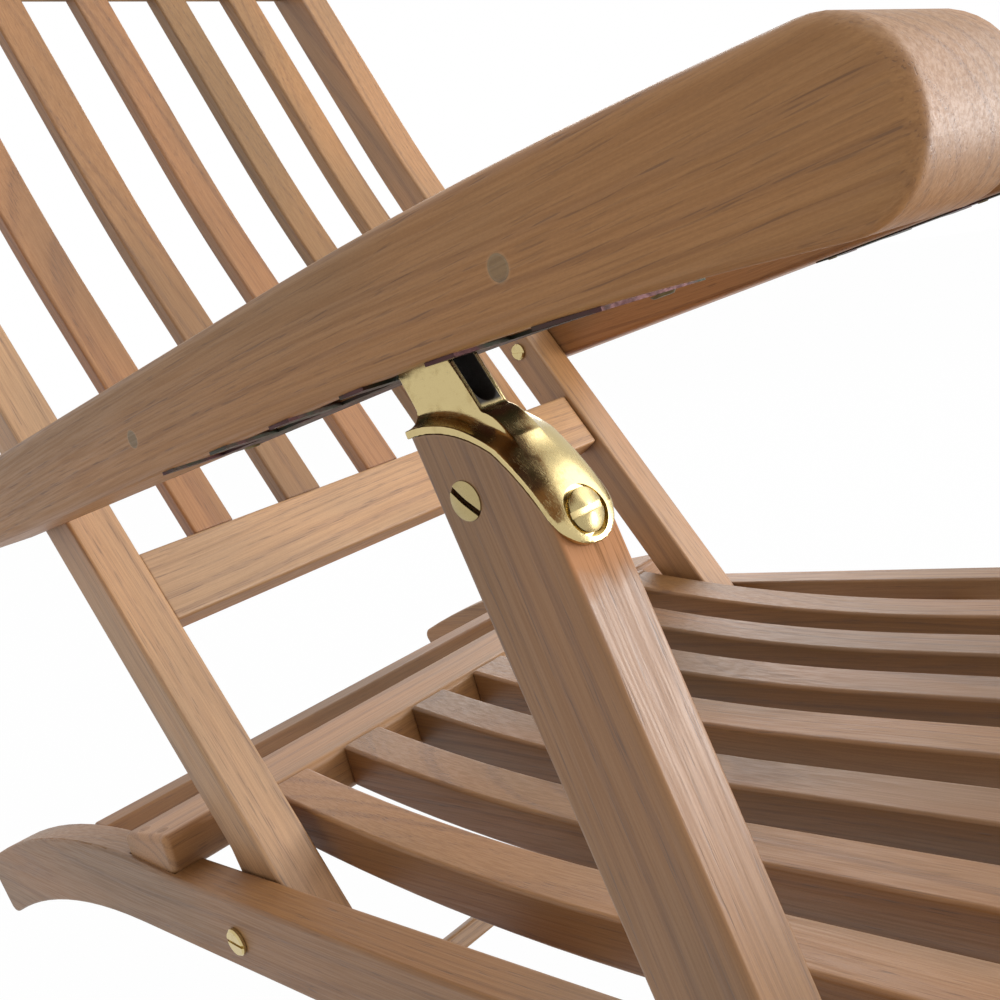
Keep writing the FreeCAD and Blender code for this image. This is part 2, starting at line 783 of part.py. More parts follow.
def back_slats():
    """Five slats from the lower rail to the head rail, bent as the stiles are."""
    front = S.stile_front - S.back_rail_setback - (S.back_rail_thick - S.back_slat_thick) / 2
    rear = front - S.back_slat_thick
    base = S.back_rail_start + S.back_rail_depth
    rise = S.head_rail_below_top + S.head_rail_depth
    front_low, front_bend, front_top, front_radius = bent(front, rise)
    rear_low, rear_bend, rear_top, rear_radius = bent(rear, rise)
    pitch = (STILE_INNER + STILE_OUTER) / (BACK_SLATS + 1)
    for number in range(BACK_SLATS):
        outline = [Corner(front, base), Corner(*front_low, front_radius, -1), Corner(*front_bend),
                   Corner(*front_top), Corner(*rear_top), Corner(*rear_bend, rear_radius, 1),
                   Corner(*rear_low), Corner(rear, base)]
        middle = (number - (BACK_SLATS - 1) / 2) * pitch
        board("back_slat_%d" % (number + 1), BACK, outline, middle - S.back_slat_width / 2,
              S.back_slat_width, S.edge_ease)


# Arms
def arm_curve(along, off):
    """A point this far along the arm's underside and off it, where the arm bends down."""
    turn = (along - S.arm_straight) / S.arm_bend_radius * (180 / math.pi)
    reach = S.arm_bend_radius + off
    return (S.arm_straight + reach * sine(turn),
            ARM_BOTTOM - S.arm_bend_radius + reach * cosine(turn))


def arm_strip(rear, front, low, high):
    """Outline of a strip that follows the arm, between two heights off its underside."""
    return [Corner(rear, ARM_BOTTOM + low),
            Corner(S.arm_straight, ARM_BOTTOM + low, S.arm_bend_radius + low, -1),
            Corner(*arm_curve(front, low)), Corner(*arm_curve(front, high), S.arm_bend_radius + high, 1),
            Corner(S.arm_straight, ARM_BOTTOM + high), Corner(rear, ARM_BOTTOM + high)]


def arm_from_leg(forward):
    """Height, in the leg's frame, of the line of the arm's straight underside this far forward."""
    lean = ARM.tilt - LEG.tilt
    ahead = (ARM.forward - LEG.forward) * cosine(LEG.tilt) + (ARM.up - LEG.up) * sine(LEG.tilt)
    above = (ARM.up - LEG.up) * cosine(LEG.tilt) - (ARM.forward - LEG.forward) * sine(LEG.tilt)
    return above + ((forward - ahead) * sine(lean) + ARM_BOTTOM) / cosine(lean)


def post_place():
    """Where along the arm the middle of the bracket's post meets the arm's underside."""
    middle = (S.post_front_top - S.post_rear_top) / 2
    ahead, above = LEG.at(middle, arm_from_leg(middle))
    return (ahead - ARM.forward) * cosine(ARM.tilt) + (above - ARM.up) * sine(ARM.tilt)


def notch_rear(number):
    """Rear wall of a notch: the post in use bears on its notch's front wall."""
    front = post_place() + (S.post_rear_top + S.post_front_top) / 2 + S.notch_play
    return front - S.notch_width + (number - NOTCH_IN_USE) * S.notch_pitch


def armrest(name, side):
    """An arm: a thick board that bends level at the front and ends in a rounded nose."""
    start = side_start(side, ARM_INNER, S.arm_width)
    body = doc.addObject("PartDesign::Body", "Arm")
    top = ARM_BOTTOM + S.arm_depth
    tip, low = arm_curve(S.arm_reach, size(0))
    past = tip - S.arm_straight
    fall = S.arm_top_radius - root(S.arm_top_radius * S.arm_top_radius - past * past)
    outline = [Corner(-S.arm_behind_bolt, ARM_BOTTOM), Corner(S.arm_straight, ARM_BOTTOM, S.arm_bend_radius, -1),
               Corner(tip, low), Corner(tip, top - fall, S.arm_top_radius, 1),
               Corner(S.arm_straight, top), Corner(-S.arm_behind_bolt, top)]
    pad(body, "YZ_Plane", outline, start, S.arm_width)
    nose = NEAR_END * S.arm_reach.value
    tail = NEAR_END * S.arm_behind_bolt.value
    middle = arm_curve(S.arm_reach, S.arm_depth / 2)[1].value
    round_edges(body, S.arm_tail_round, lambda edge: along_x(edge) and edge.CenterOfMass.y > tail)
    for radius, way in ((S.nose_top_round, 1), (S.nose_low_round, -1)):
        round_edges(body, radius, lambda edge: along_x(edge) and edge.CenterOfMass.y < -nose
                    and way * (edge.CenterOfMass.z - middle) > 0)
    round_edges(body, S.arm_ease)
    groove_rear = notch_rear(0)
    groove_front = notch_rear(NOTCHES - 1) + S.notch_width
    groove_width = S.post_width + 2 * S.side_gap
    mortise(body, side * LEG_MIDDLE - groove_width / 2, -groove_front, ARM_BOTTOM - S.groove_depth,
            groove_width, groove_front - groove_rear, 2 * S.groove_depth)
    bolt_start = ARM_INNER if side > 0 else -(ARM_INNER + S.arm_bolt_depth)
    drill_across(body, 0, 0, bolt_start, S.arm_bolt_depth, BORE)
    outer = ARM_INNER + S.arm_width
    plug_start = outer - S.plug_depth if side > 0 else -outer
    for along in (S.rear_plug_ahead, S.front_plug_ahead):
        forward, up = arm_point(along, S.plug_above_edge)
        drill_across(body, forward, up, plug_start, S.plug_depth, S.plug_radius)
    for across, along in plate_screw_places(side):
        forward, up = arm_point(along, size(0))
        drill(body, "XY_Plane", across, -forward, up - S.plate_thick, S.plate_screw_length + S.plate_thick,
              S.plate_screw_radius)
    ARM.carry(body)
    piece(body, "armrest_" + name)
    plugs = []
    for along in (S.rear_plug_ahead, S.front_plug_ahead):
        forward, up = arm_point(along, S.plug_above_edge)
        plug = cylinder(S.plug_radius, S.plug_depth)
        plug.Placement = turned_along_x(1)
        ahead, above = ARM.at(forward, up)
        bind(plug, Placement__Base__x=plug_start, Placement__Base__y=-ahead, Placement__Base__z=above)
        plugs.append(plug)
    group("arm_plugs_" + name, plugs)


def arm_point(along, off):
    """A point this far along the arm's underside and off it, on the straight part or the bent one."""
    if along.value > S.arm_straight.value:
        return arm_curve(along, off)
    return along, ARM_BOTTOM + off


def plate_screw_places(side):
    """Screws through the plate's inner margin, one near each end and one in the middle."""
    inner = ARM_INNER + S.arm_width - S.plate_inset - S.plate_width
    across = side * (inner + S.plate_screw_inset)
    edge = S.plate_screw_margin
    middle = (S.plate_start + S.plate_end) / 2
    return [(across, S.plate_start + edge), (across, middle), (across, S.plate_end - edge)]


def notch_plate(name, side):
    """The steel plate under an arm, notched from its outer edge for the bracket's post."""
    outer = ARM_INNER + S.arm_width - S.plate_inset
    inner = outer - S.plate_width
    body = doc.addObject("PartDesign::Body", "Plate")
    pad(body, "YZ_Plane", arm_strip(S.plate_start, S.plate_end, -S.plate_thick, size(0)),
        side_start(side, inner, S.plate_width), S.plate_width)
    depth = outer - (LEG_MIDDLE - S.post_width / 2 - S.side_gap)
    for number in range(NOTCHES):
        mortise(body, side_start(side, outer - depth, depth), -(notch_rear(number) + S.notch_width),
                ARM_BOTTOM - S.arm_depth, depth, S.notch_width, 2 * S.arm_depth)
    for across, along in plate_screw_places(side):
        forward = arm_point(along, size(0))[0]
        drill(body, "XY_Plane", across, -forward, ARM_BOTTOM - S.arm_depth, 2 * S.arm_depth,
              S.plate_screw_radius)
    ARM.carry(body)
    piece(body, "notch_plate_" + name)
    screws = []
    for across, along in plate_screw_places(side):
        forward = arm_point(along, size(0))[0]
        up = arm_point(along + S.plate_screw_head, -S.plate_thick)[1]
        shank = cylinder(S.plate_screw_radius, S.plate_screw_length)
        head = doc.addObject("Part::Cone", "Head")
        bind(head, Radius1=S.plate_screw_head - S.plate_screw_rise, Radius2=S.plate_screw_head,
             Height=S.plate_screw_rise, Placement__Base__z=-S.plate_screw_rise)
        screw = doc.addObject("Part::MultiFuse", "Screw")
        screw.Shapes = [shank, head]
        ARM.child(forward, up, ARM.tilt).carry(screw)
        bind(screw, Placement__Base__x=across)
        screws.append(screw)
    group("plate_screws_" + name, screws)


# Front legs
def front_leg(name, side):
    """A front leg, rounded over at the top for its bracket and cut level at the floor."""
    half = S.front_leg_width / 2
    outline = [Corner(-half, LEG.floor_below(-half)), Corner(half, LEG.floor_below(half)),
               Corner(half, S.leg_top_front, S.leg_shoulder_radius, 1),
               Corner(S.leg_shoulder_ahead, S.leg_shoulder_up, S.leg_top_radius, 1),
               Corner(-half, S.leg_top_rear)]
    start = side_start(side, LEG_INNER, S.front_leg_thick)
    body = doc.addObject("PartDesign::Body", "FrontLeg")
    pad(body, "YZ_Plane", outline, start, S.front_leg_thick)
    below = NEAR_END * S.leg_top_front.value
    round_edges(body, S.edge_ease, lambda edge: abs(edge.CenterOfMass.z) < below)
    drill_across(body, 0, 0, start, S.front_leg_thick, BORE)
    drill(body, "XZ_Plane", side * LEG_MIDDLE, S.tongue_screw_up, half - S.tongue_shank_length,
          S.tongue_shank_length, S.tongue_shank_radius)
    outer = side * LEG_OUTER
    head_start = outer - S.side_head_depth if side > 0 else outer
    shank_start = outer - S.side_shank_length if side > 0 else outer
    for start, length, radius in ((head_start, S.side_head_depth, S.side_head_radius),
                                  (shank_start, S.side_shank_length, S.side_shank_radius)):
        drill_across(body, -S.side_screw_behind, S.side_screw_up, start, length, radius)
    LEG.carry(body)
    piece(body, "front_leg_" + name)


def leg_bracket(name, side):
    """The cast brass bracket on a leg: a saddle with a tongue down the front, and a forked post."""
    half = S.front_leg_width / 2
    thick = S.bracket_thick
    reach = S.leg_top_radius + thick
    shoulder = (S.leg_shoulder_ahead, S.leg_shoulder_up)
    centre = arc_centre((-half, S.leg_top_rear), shoulder, S.leg_top_radius)
    swell = reach / S.leg_top_radius
    rear = -(half + S.bracket_overhang)

    def height(forward, radius):
        away = forward - centre[0]
        return centre[1] + root(radius * radius - away * away)

    saddle = [Corner(half, S.bracket_tongue_end), Corner(half + thick, S.bracket_tongue_end),
              Corner(half + thick, S.leg_top_front, S.leg_shoulder_radius + thick, 1),
              Corner(centre[0] + (shoulder[0] - centre[0]) * swell,
                     centre[1] + (shoulder[1] - centre[1]) * swell, reach, 1),
              Corner(rear, height(rear, reach)),
              Corner(rear, height(rear, S.leg_top_radius), S.leg_top_radius, -1),
              Corner(*shoulder, S.leg_shoulder_radius, -1), Corner(half, S.leg_top_front)]
    body = doc.addObject("PartDesign::Body", "Bracket")
    pad(body, "YZ_Plane", saddle, side_start(side, LEG_INNER, S.front_leg_thick), S.front_leg_thick)
    low = (S.bracket_tongue_end + thick).value
    round_edges(body, S.bracket_tongue_round, lambda edge: not along_x(edge) and edge.BoundBox.ZMax < low)
    saddle_top = centre[1] + reach
    inside = S.leg_top_radius + thick / 2
    post = [Corner(-S.post_rear_foot, height(-S.post_rear_foot, inside), inside, -1),
            Corner(S.post_front_foot, height(S.post_front_foot, inside)),
            Corner(S.post_front_top, post_top(S.post_front_top)),
            Corner(-S.post_rear_top, post_top(-S.post_rear_top))]
    pad(body, "YZ_Plane", post, side * LEG_MIDDLE - S.post_width / 2, S.post_width)
    cheeks = [(side * LEG_MIDDLE + way * S.post_width / 2).value for way in (-1, 1)]
    round_edges(body, S.bracket_cove, lambda edge: on_cheek(edge, cheeks) and not is_straight(edge))
    slot = S.post_slot_width / 2
    mortise(body, side * LEG_MIDDLE - slot, -2 * half, S.post_slot_floor + slot, 2 * slot, 4 * half,
            saddle_top)
    drill(body, "XZ_Plane", side * LEG_MIDDLE, S.post_slot_floor + slot, -2 * half, 4 * half, slot)
    drill(body, "XZ_Plane", side * LEG_MIDDLE, S.tongue_screw_up, half, 2 * thick, S.tongue_hole_radius)
    drill(body, "XZ_Plane", side * LEG_MIDDLE, S.tongue_screw_up, half - thick, thick, S.tongue_shank_radius)
    LEG.carry(body)
    piece(body, "leg_bracket_" + name)


def is_straight(edge):
    return edge.Curve.TypeId == "Part::GeomLine"


def on_cheek(edge, faces):
    """Whether an edge lies in one of the planes x = face."""
    box = edge.BoundBox
    return any(abs(box.XMin - face) + abs(box.XMax - face) < FLAT for face in faces)


def arc_centre(first, last, radius):
    """Centre of the arc between two points that swells forward and up."""
    across = last[0] - first[0]
    rise = last[1] - first[1]
    chord = root(across * across + rise * rise)
    drop = root(radius * radius - chord * chord / 4)
    return (first[0] + across / 2 + drop * rise / chord, first[1] + rise / 2 - drop * across / chord)


def post_top(forward):
    """Height of the post's top: a little way into the groove over the arm's bent underside."""
    past = post_place() - S.arm_straight
    return arm_from_leg(forward) - past * past / (2 * S.arm_bend_radius) + S.post_engagement


def bracket_screws(name, side):
    """The domed screw in the bracket's tongue and the flush one in the leg's outer face."""
    half = S.front_leg_width / 2
    shank = cylinder(S.tongue_shank_radius, S.tongue_shank_length)
    bind(shank, Placement__Base__z=-S.tongue_shank_length)
    radius = S.tongue_head_radius
    height = S.tongue_head_height
    ball_radius = (radius * radius + height * height) / (2 * height)
    ball = doc.addObject("Part::Sphere", "Dome")
    bind(ball, Radius=ball_radius, Placement__Base__z=S.tongue_head_height - ball_radius)
    blank = cylinder(S.tongue_head_radius, S.tongue_head_height)
    head = doc.addObject("Part::Common", "Head")
    head.Base = ball
    head.Tool = blank
    whole = doc.addObject("Part::MultiFuse", "Blank")
    whole.Shapes = [shank, head]
    slot = doc.addObject("Part::Box", "Slot")
    bind(slot, Length=2 * S.tongue_head_radius, Width=S.bolt_slot_width, Height=S.tongue_head_height,
         Placement__Base__x=-S.tongue_head_radius, Placement__Base__y=-S.bolt_slot_width / 2,
         Placement__Base__z=S.tongue_head_height - S.tongue_slot_depth)
    domed = doc.addObject("Part::Cut", "DomedScrew")
    domed.Base = whole
    domed.Tool = slot
    LEG.child(half, S.tongue_screw_up, LEG.tilt).carry(domed)
    bind(domed, Placement__Base__x=side * LEG_MIDDLE, Placement__Rotation__Angle=90 - LEG.tilt)
    flush_head = cylinder(S.side_head_radius, S.side_head_depth)
    flush_shank = cylinder(S.side_shank_radius, S.side_shank_length)
    flush = doc.addObject("Part::MultiFuse", "Blank")
    flush.Shapes = [flush_head, flush_shank]
    groove = doc.addObject("Part::Box", "Slot")
    bind(groove, Length=S.bolt_slot_width, Width=2 * S.side_head_radius, Height=S.bolt_slot_depth,
         Placement__Base__x=-S.bolt_slot_width / 2, Placement__Base__y=-S.side_head_radius)
    flat = doc.addObject("Part::Cut", "FlushScrew")
    flat.Base = flush
    flat.Tool = groove
    flat.Placement = turned_along_x(-side)
    ahead, above = LEG.at(-S.side_screw_behind, S.side_screw_up)
    bind(flat, Placement__Base__x=side * LEG_OUTER, Placement__Base__y=-ahead, Placement__Base__z=above)
    group("bracket_screws_" + name, [domed, flat])


# Rear legs
def straight_leg(label, frame, side, inner, width, thick):
    """A plain leg with a round head at its bolt, cut level at the floor."""
    half = width / 2
    outline = [Corner(-half, frame.floor_below(-half)), Corner(half, frame.floor_below(half)),
               Corner(half, 0, half, 1), Corner(0, half, half, 1), Corner(-half, 0)]
    start = side_start(side, inner, thick)
    body = doc.addObject("PartDesign::Body", "Leg")
    pad(body, "YZ_Plane", outline, start, thick)
    round_edges(body, S.edge_ease, lambda edge: not along_x(edge))
    drill_across(body, 0, 0, start, thick, BORE)
    frame.carry(body)
    piece(body, label)


def leg_stretcher(label, frame, down, inner):
    """A flat bar between a pair of legs."""
    half = S.leg_stretcher_thick / 2
    outline = rectangle(-half, half, -down, S.leg_stretcher_depth - down)
    board(label, frame, outline, -inner, 2 * inner, S.edge_ease)


# Leg rest
def leg_rest_rail(name, side):
    """A side rail of the leg rest, round at its hinge."""
    half = S.leg_rest_rail_depth / 2
    outline = [Corner(0, -half), Corner(S.leg_rest_reach, -half), Corner(S.leg_rest_reach, half),
               Corner(0, half, half, 1), Corner(-half, 0, half, 1)]
    start = side_start(side, REST_RAIL_INNER, S.leg_rest_rail_thick)
    body = doc.addObject("PartDesign::Body", "RestRail")
    pad(body, "YZ_Plane", outline, start, S.leg_rest_rail_thick)
    far = NEAR_END * S.leg_rest_reach.value
    round_edges(body, S.rail_front_round, lambda edge: along_x(edge) and edge.CenterOfMass.y < -far)
    round_edges(body, S.edge_ease, lambda edge: not along_x(edge))
    for forward in (0, S.rest_leg_ahead):
        drill_across(body, forward, 0, start, S.leg_rest_rail_thick, BORE)
    REST.carry(body)
    piece(body, "leg_rest_rail_" + name)


def leg_rest_deck():
    """The cross rails and slats of the leg rest."""
    top = S.leg_rest_top
    for label, rear in (("leg_rest_rear_rail", S.leg_rest_cross_start),
                        ("leg_rest_front_rail", S.leg_rest_cross_end - S.leg_rest_cross_thick)):
        outline = rectangle(rear, rear + S.leg_rest_cross_thick, top - S.leg_rest_cross_depth, top)
        board(label, REST, outline, -REST_RAIL_INNER, 2 * REST_RAIL_INNER, S.edge_ease)
    slats = []
    rear = S.leg_rest_cross_start + S.leg_rest_cross_thick
    front = S.leg_rest_cross_end - S.leg_rest_cross_thick
    for number in range(SEAT_SLATS):
        middle = (number - (SEAT_SLATS - 1) / 2) * S.slat_pitch
        body = doc.addObject("PartDesign::Body", "RestSlat")
        pad(body, "YZ_Plane", rectangle(rear, front, top - S.leg_rest_slat_depth, top),
            middle - S.slat_width / 2, S.slat_width)
        round_edges(body, S.edge_ease)
        REST.carry(body)
        slats.append(body)
    group("leg_rest_slats", slats)


def rest_leg_stops():
    """Blocks on the leg rest's rails, ahead of its legs' heads, that stop them swinging forward."""
    blocks = []
    half = S.rest_leg_width / 2
    for side in SIDES.values():
        block = doc.addObject("Part::Box", "Stop")
        bind(block, Length=S.leg_stop_thick, Width=S.leg_stop_width, Height=S.leg_stop_width)
        ahead = half + S.stop_gap + S.leg_stop_width
        REST_LEG.child(ahead, -(S.leg_rest_rail_depth / 2), REST_LEG.tilt).carry(block)
        bind(block, Placement__Base__x=side_start(side, REST_LEG_INNER - S.side_gap, S.leg_stop_thick))
        blocks.append(block)
    group("leg_rest_stops", blocks)


def build():
    """Make every sub-part of the chair."""
    rear_seat_rail()
    seat_rail_pegs()
    cross_boards()
    seat_slats()
    rear_leg_stops()
    front_leg_stops()
    back_rails()
    back_slats()
    for name, side in SIDES.items():
        side_rail(name, side)
        back_stile(name, side)
        armrest(name, side)
        notch_plate(name, side)
        front_leg(name, side)
        leg_bracket(name, side)
        bracket_screws(name, side)
        straight_leg("rear_leg_" + name, REAR_LEG, side, REAR_LEG_INNER, S.rear_leg_width, S.rear_leg_thick)
        leg_rest_rail(name, side)
        straight_leg("rest_leg_" + name, REST_LEG, side, REST_LEG_INNER, S.rest_leg_width, S.rest_leg_thick)
    leg_stretcher("rear_leg_stretcher", REAR_LEG, S.rear_stretcher_down, REAR_LEG_INNER)
    leg_stretcher("rest_leg_stretcher", REST_LEG, S.rest_stretcher_down, REST_LEG_INNER)
    leg_rest_deck()
    rest_leg_stops()
    gap = S.stop_gap
    rest_leg_outer = REST_LEG_INNER + S.rest_leg_thick
    back_nuts = pivot_set("back_pivot_bolts", SEAT, 0, 0, RAIL_OUTER + gap, STILE_INNER - gap)
    group("back_pivot_nuts", back_nuts)
    front_nuts = pivot_set("front_leg_bolts", SEAT, S.front_leg_ahead, RAIL_MIDDLE, LEG_OUTER + gap,
                           RAIL_INNER)
    rear_nuts = pivot_set("rear_leg_bolts", SEAT, S.rear_leg_ahead, S.rear_leg_up, RAIL_OUTER,
                          REAR_LEG_INNER - gap)
    hinge_nuts = pivot_set("leg_rest_bolts", SEAT, S.hinge_ahead, S.hinge_up, RAIL_OUTER,
                           REST_RAIL_INNER - gap)
    group("seat_frame_nuts", front_nuts + rear_nuts + hinge_nuts)
    rest_nuts = pivot_set("rest_leg_bolts", REST, S.rest_leg_ahead, 0, rest_leg_outer + gap, REST_RAIL_INNER)
    group("rest_leg_nuts", rest_nuts)
    arm_bolts = []
    for side in SIDES.values():
        length = S.stile_thick + S.side_gap + S.arm_bolt_depth
        arm_bolts.append(bolt(BACK, STILE_MIDDLE, S.arm_bolt_up, STILE_INNER - gap, side, length,
                              S.arm_bolt_head_radius, -1))
    group("arm_bolts", arm_bolts)


def centre_on_origin():
    """Shift the chair along Y so that its outline stands evenly about the origin."""
    boxes = [thing.Shape.optimalBoundingBox() for thing in pieces]
    rear = max(box.YMax for box in boxes)
    front = min(box.YMin for box in boxes)
    cell = "B%d" % (list(SIZES).index("middle_shift") + 1)
    sheet.set(cell, str(SIZES["middle_shift"] + (rear + front) / 2))
    doc.recompute()


def check():
    """Stop if any object failed or any sub-part has no sound shape."""
    for thing in doc.Objects:
        if "Invalid" in thing.State or "Error" in thing.State:
            raise RuntimeError("%s failed: %s" % (thing.Label, thing.State))
    for thing in pieces:
        if thing.Shape.isNull() or not thing.Shape.isValid():
            raise RuntimeError("%s has no sound shape" % thing.Label)


def hand_out():
    os.makedirs("parts", exist_ok=True)
    for thing in pieces:
        thing.Shape.exportStep("parts/%s.step" % thing.Label)


build()
doc.recompute()
centre_on_origin()
check()
hand_out()
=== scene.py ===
"""Steamer chair: teak boards, cast brass brackets and a plain white studio.

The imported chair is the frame; this file gives every board its own teak, models the brass
brackets and their screws, and sets the floor, the light and the camera.
"""
import json
import math
import random

import bpy
from bpy.props import FloatProperty, FloatVectorProperty, PointerProperty
from mathutils import Euler, Matrix, Vector


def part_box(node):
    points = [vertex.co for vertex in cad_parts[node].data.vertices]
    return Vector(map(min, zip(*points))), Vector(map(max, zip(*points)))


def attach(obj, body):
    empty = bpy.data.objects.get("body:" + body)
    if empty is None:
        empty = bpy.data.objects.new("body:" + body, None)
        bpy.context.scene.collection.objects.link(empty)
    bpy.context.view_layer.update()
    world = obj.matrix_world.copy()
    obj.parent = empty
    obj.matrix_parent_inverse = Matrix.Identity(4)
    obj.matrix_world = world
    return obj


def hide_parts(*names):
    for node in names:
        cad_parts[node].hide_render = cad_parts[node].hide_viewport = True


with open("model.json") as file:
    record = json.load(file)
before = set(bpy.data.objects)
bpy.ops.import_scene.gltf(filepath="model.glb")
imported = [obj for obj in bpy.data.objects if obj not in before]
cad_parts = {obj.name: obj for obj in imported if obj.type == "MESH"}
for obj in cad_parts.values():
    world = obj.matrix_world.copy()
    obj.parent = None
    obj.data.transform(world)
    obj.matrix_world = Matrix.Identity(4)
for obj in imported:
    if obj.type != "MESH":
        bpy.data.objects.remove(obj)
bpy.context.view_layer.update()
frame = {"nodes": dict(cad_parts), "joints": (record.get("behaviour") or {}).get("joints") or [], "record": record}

bl_info = {
    "name": "Steamer Chair",
    "version": (1, 0, 0),
    "blender": (4, 5, 0),
    "location": "View3D > Sidebar > Steamer Chair",
    "description": "Teak, brass and studio for a folding steamer chair",
    "category": "Object",
}

MM = 0.001
JOINTS = {joint["name"]: Vector(joint["pos_m"]) for joint in frame["joints"]}

# How far each group of boards is tilted in side view, in degrees, front up
SEAT_TILT = 6.0
BACK_TILT = 34.4
ARM_TILT = 12.17
LEG_TILT = 17.7
REAR_LEG_TILT = -56.0
REST_TILT = -4.0
REST_LEG_TILT = 6.0

# Which way the grain runs in each board, and the tilt of the frame that it lies in
GRAIN = {
    "side_rail": ("forward", SEAT_TILT),
    "rear_seat_rail": ("across", SEAT_TILT),
    "seat_rail_pegs": ("forward", SEAT_TILT),
    "rear_stretcher": ("across", SEAT_TILT),
    "front_seat_rail": ("across", SEAT_TILT),
    "seat_slat": ("forward", SEAT_TILT),
    "rear_leg_stops": ("up", REAR_LEG_TILT),
    "back_stile": ("up", BACK_TILT),
    "lower_back_rail": ("across", BACK_TILT),
    "head_rail": ("across", BACK_TILT),
    "back_slat": ("up", BACK_TILT),
    "armrest": ("forward", ARM_TILT),
    "arm_plugs": ("forward", ARM_TILT),
    "front_leg_right": ("up", LEG_TILT),
    "front_leg_left": ("up", LEG_TILT),
    "rear_leg_right": ("up", REAR_LEG_TILT),
    "rear_leg_left": ("up", REAR_LEG_TILT),
    "rear_leg_stretcher": ("across", REAR_LEG_TILT),
    "leg_rest_rail": ("forward", REST_TILT),
    "leg_rest_rear_rail": ("across", REST_TILT),
    "leg_rest_front_rail": ("across", REST_TILT),
    "leg_rest_slats": ("forward", REST_TILT),
    "leg_rest_stops": ("forward", REST_TILT),
    "rest_leg_right": ("up", REST_LEG_TILT),
    "rest_leg_left": ("up", REST_LEG_TILT),
    "rest_leg_stretcher": ("across", REST_LEG_TILT),
}
GRAIN_TURN = {"up": (0.0, 0.0), "forward": (90.0, 0.0), "across": (0.0, 90.0)}

# Tints of teak, as shares of the mean colour; a board that is not in BOARD_TINT draws one by chance. The umber and
# dark tints on seat slats 2 to 7 are painted shade between the close slats, and the palest tint is paler wood with
# a painted sheen.
TINTS = {
    "honey": (1.00, 1.00, 1.00),
    "amber": (1.13, 1.13, 1.10),
    "rose": (1.08, 1.03, 1.06),
    "pale": (1.20, 1.22, 1.22),
    # Paler wood with a painted sheen on top of it
    "pale_painted_sheen": (1.50, 1.70, 2.20),
    "olive": (0.95, 0.98, 0.90),
    "umber": (0.82, 0.78, 0.64),
    # The dark tint is painted shade, for seat slats that stand in the shade of their neighbours
    "dark": (0.66, 0.61, 0.44),
    "plug": (0.72, 0.84, 0.80),
}
BOARD_TINT = {
    "armrest_right": "amber",
    "front_leg_right": "umber",
    "side_rail_right": "umber",
    "rear_stretcher": "umber",
    "seat_slat_1": "honey",
    # Seat slats 2 to 7: darker tints as painted shade between the close slats
    "seat_slat_2": "umber",
    "seat_slat_3": "dark",
    "seat_slat_4": "umber",
    "seat_slat_5": "dark",
    "seat_slat_6": "dark",
    "seat_slat_7": "umber",
    # The right stile and the lower back rail: paler wood with a painted sheen
    "back_stile_right": "pale_painted_sheen",
    "back_stile_left": "pale",
    "lower_back_rail": "pale_painted_sheen",
    "arm_plugs_right": "plug",
    "arm_plugs_left": "plug",
}
CHANCE_TINTS = ("honey", "honey", "rose", "pale", "olive")

# How strongly the oiled boards shine, as a specular level
PLAIN_SHEEN = 0.75
SHEEN = {
    "armrest": 0.55,
    "front_leg_right": 0.90,
    "front_leg_left": 0.90,
    "back_stile": 1.0,
    "lower_back_rail": 1.0,
}


class ChairTeak(bpy.types.PropertyGroup):
    """Colours and grain of the teak."""

    mean: FloatVectorProperty(
        name="Mean colour", description="Sawn and oiled teak between the growth rings",
        subtype="COLOR", default=(0.352, 0.174, 0.060), min=0.0, max=1.0)
    late: FloatVectorProperty(
        name="Late wood", description="Darker lines of the growth rings",
        subtype="COLOR", default=(0.215, 0.096, 0.033), min=0.0, max=1.0)
    pore: FloatVectorProperty(
        name="Pores", description="Colour deep in the open pores",
        subtype="COLOR", default=(0.095, 0.043, 0.019), min=0.0, max=1.0)
    # Paler wood along the edges: partly sanding wear, partly a painted highlight on the rounded edges
    wear_and_highlight: FloatVectorProperty(
        name="Worn edge", description="Paler wood where an edge was sanded",
        subtype="COLOR", default=(0.52, 0.33, 0.19), min=0.0, max=1.0)
    raw: FloatVectorProperty(
        name="Raw patch", description="Unoiled, freshly sanded wood below the bracket's tongue",
        subtype="COLOR", default=(0.54, 0.255, 0.115), min=0.0, max=1.0)
    ring: FloatProperty(
        name="Ring width", description="Mean width of a growth ring",
        subtype="DISTANCE", unit="LENGTH", default=4.2 * MM, min=MM)
    fibre: FloatProperty(
        name="Fibre width", description="Width of the fine streaks along the grain",
        subtype="DISTANCE", unit="LENGTH", default=1.1 * MM, min=0.1 * MM)
    # Reach of the paler edges, which are partly sanding wear and partly a painted highlight
    edge: FloatProperty(
        name="Edge wear", description="How far the paler wood reaches from an edge",
        subtype="DISTANCE", unit="LENGTH", default=1.6 * MM, min=0.0)


class ChairMetal(bpy.types.PropertyGroup):
    """Colours of the fittings."""

    brass: FloatVectorProperty(
        name="Brass", description="Polished cast brass",
        subtype="COLOR", default=(0.56, 0.445, 0.215), min=0.0, max=1.0)
    tarnish: FloatVectorProperty(
        name="Tarnish", description="Brass that has dulled",
        subtype="COLOR", default=(0.40, 0.29, 0.12), min=0.0, max=1.0)
    raw_cast: FloatVectorProperty(
        name="Raw casting", description="Black skin of the casting inside the fork",
        subtype="COLOR", default=(0.028, 0.022, 0.017), min=0.0, max=1.0)
    plating_red: FloatVectorProperty(
        name="Plating, red", description="Red tone of the passivated plates",
        subtype="COLOR", default=(0.075, 0.03, 0.03), min=0.0, max=1.0)
    plating_green: FloatVectorProperty(
        name="Plating, green", description="Green tone of the passivated plates",
        subtype="COLOR", default=(0.04, 0.045, 0.03), min=0.0, max=1.0)


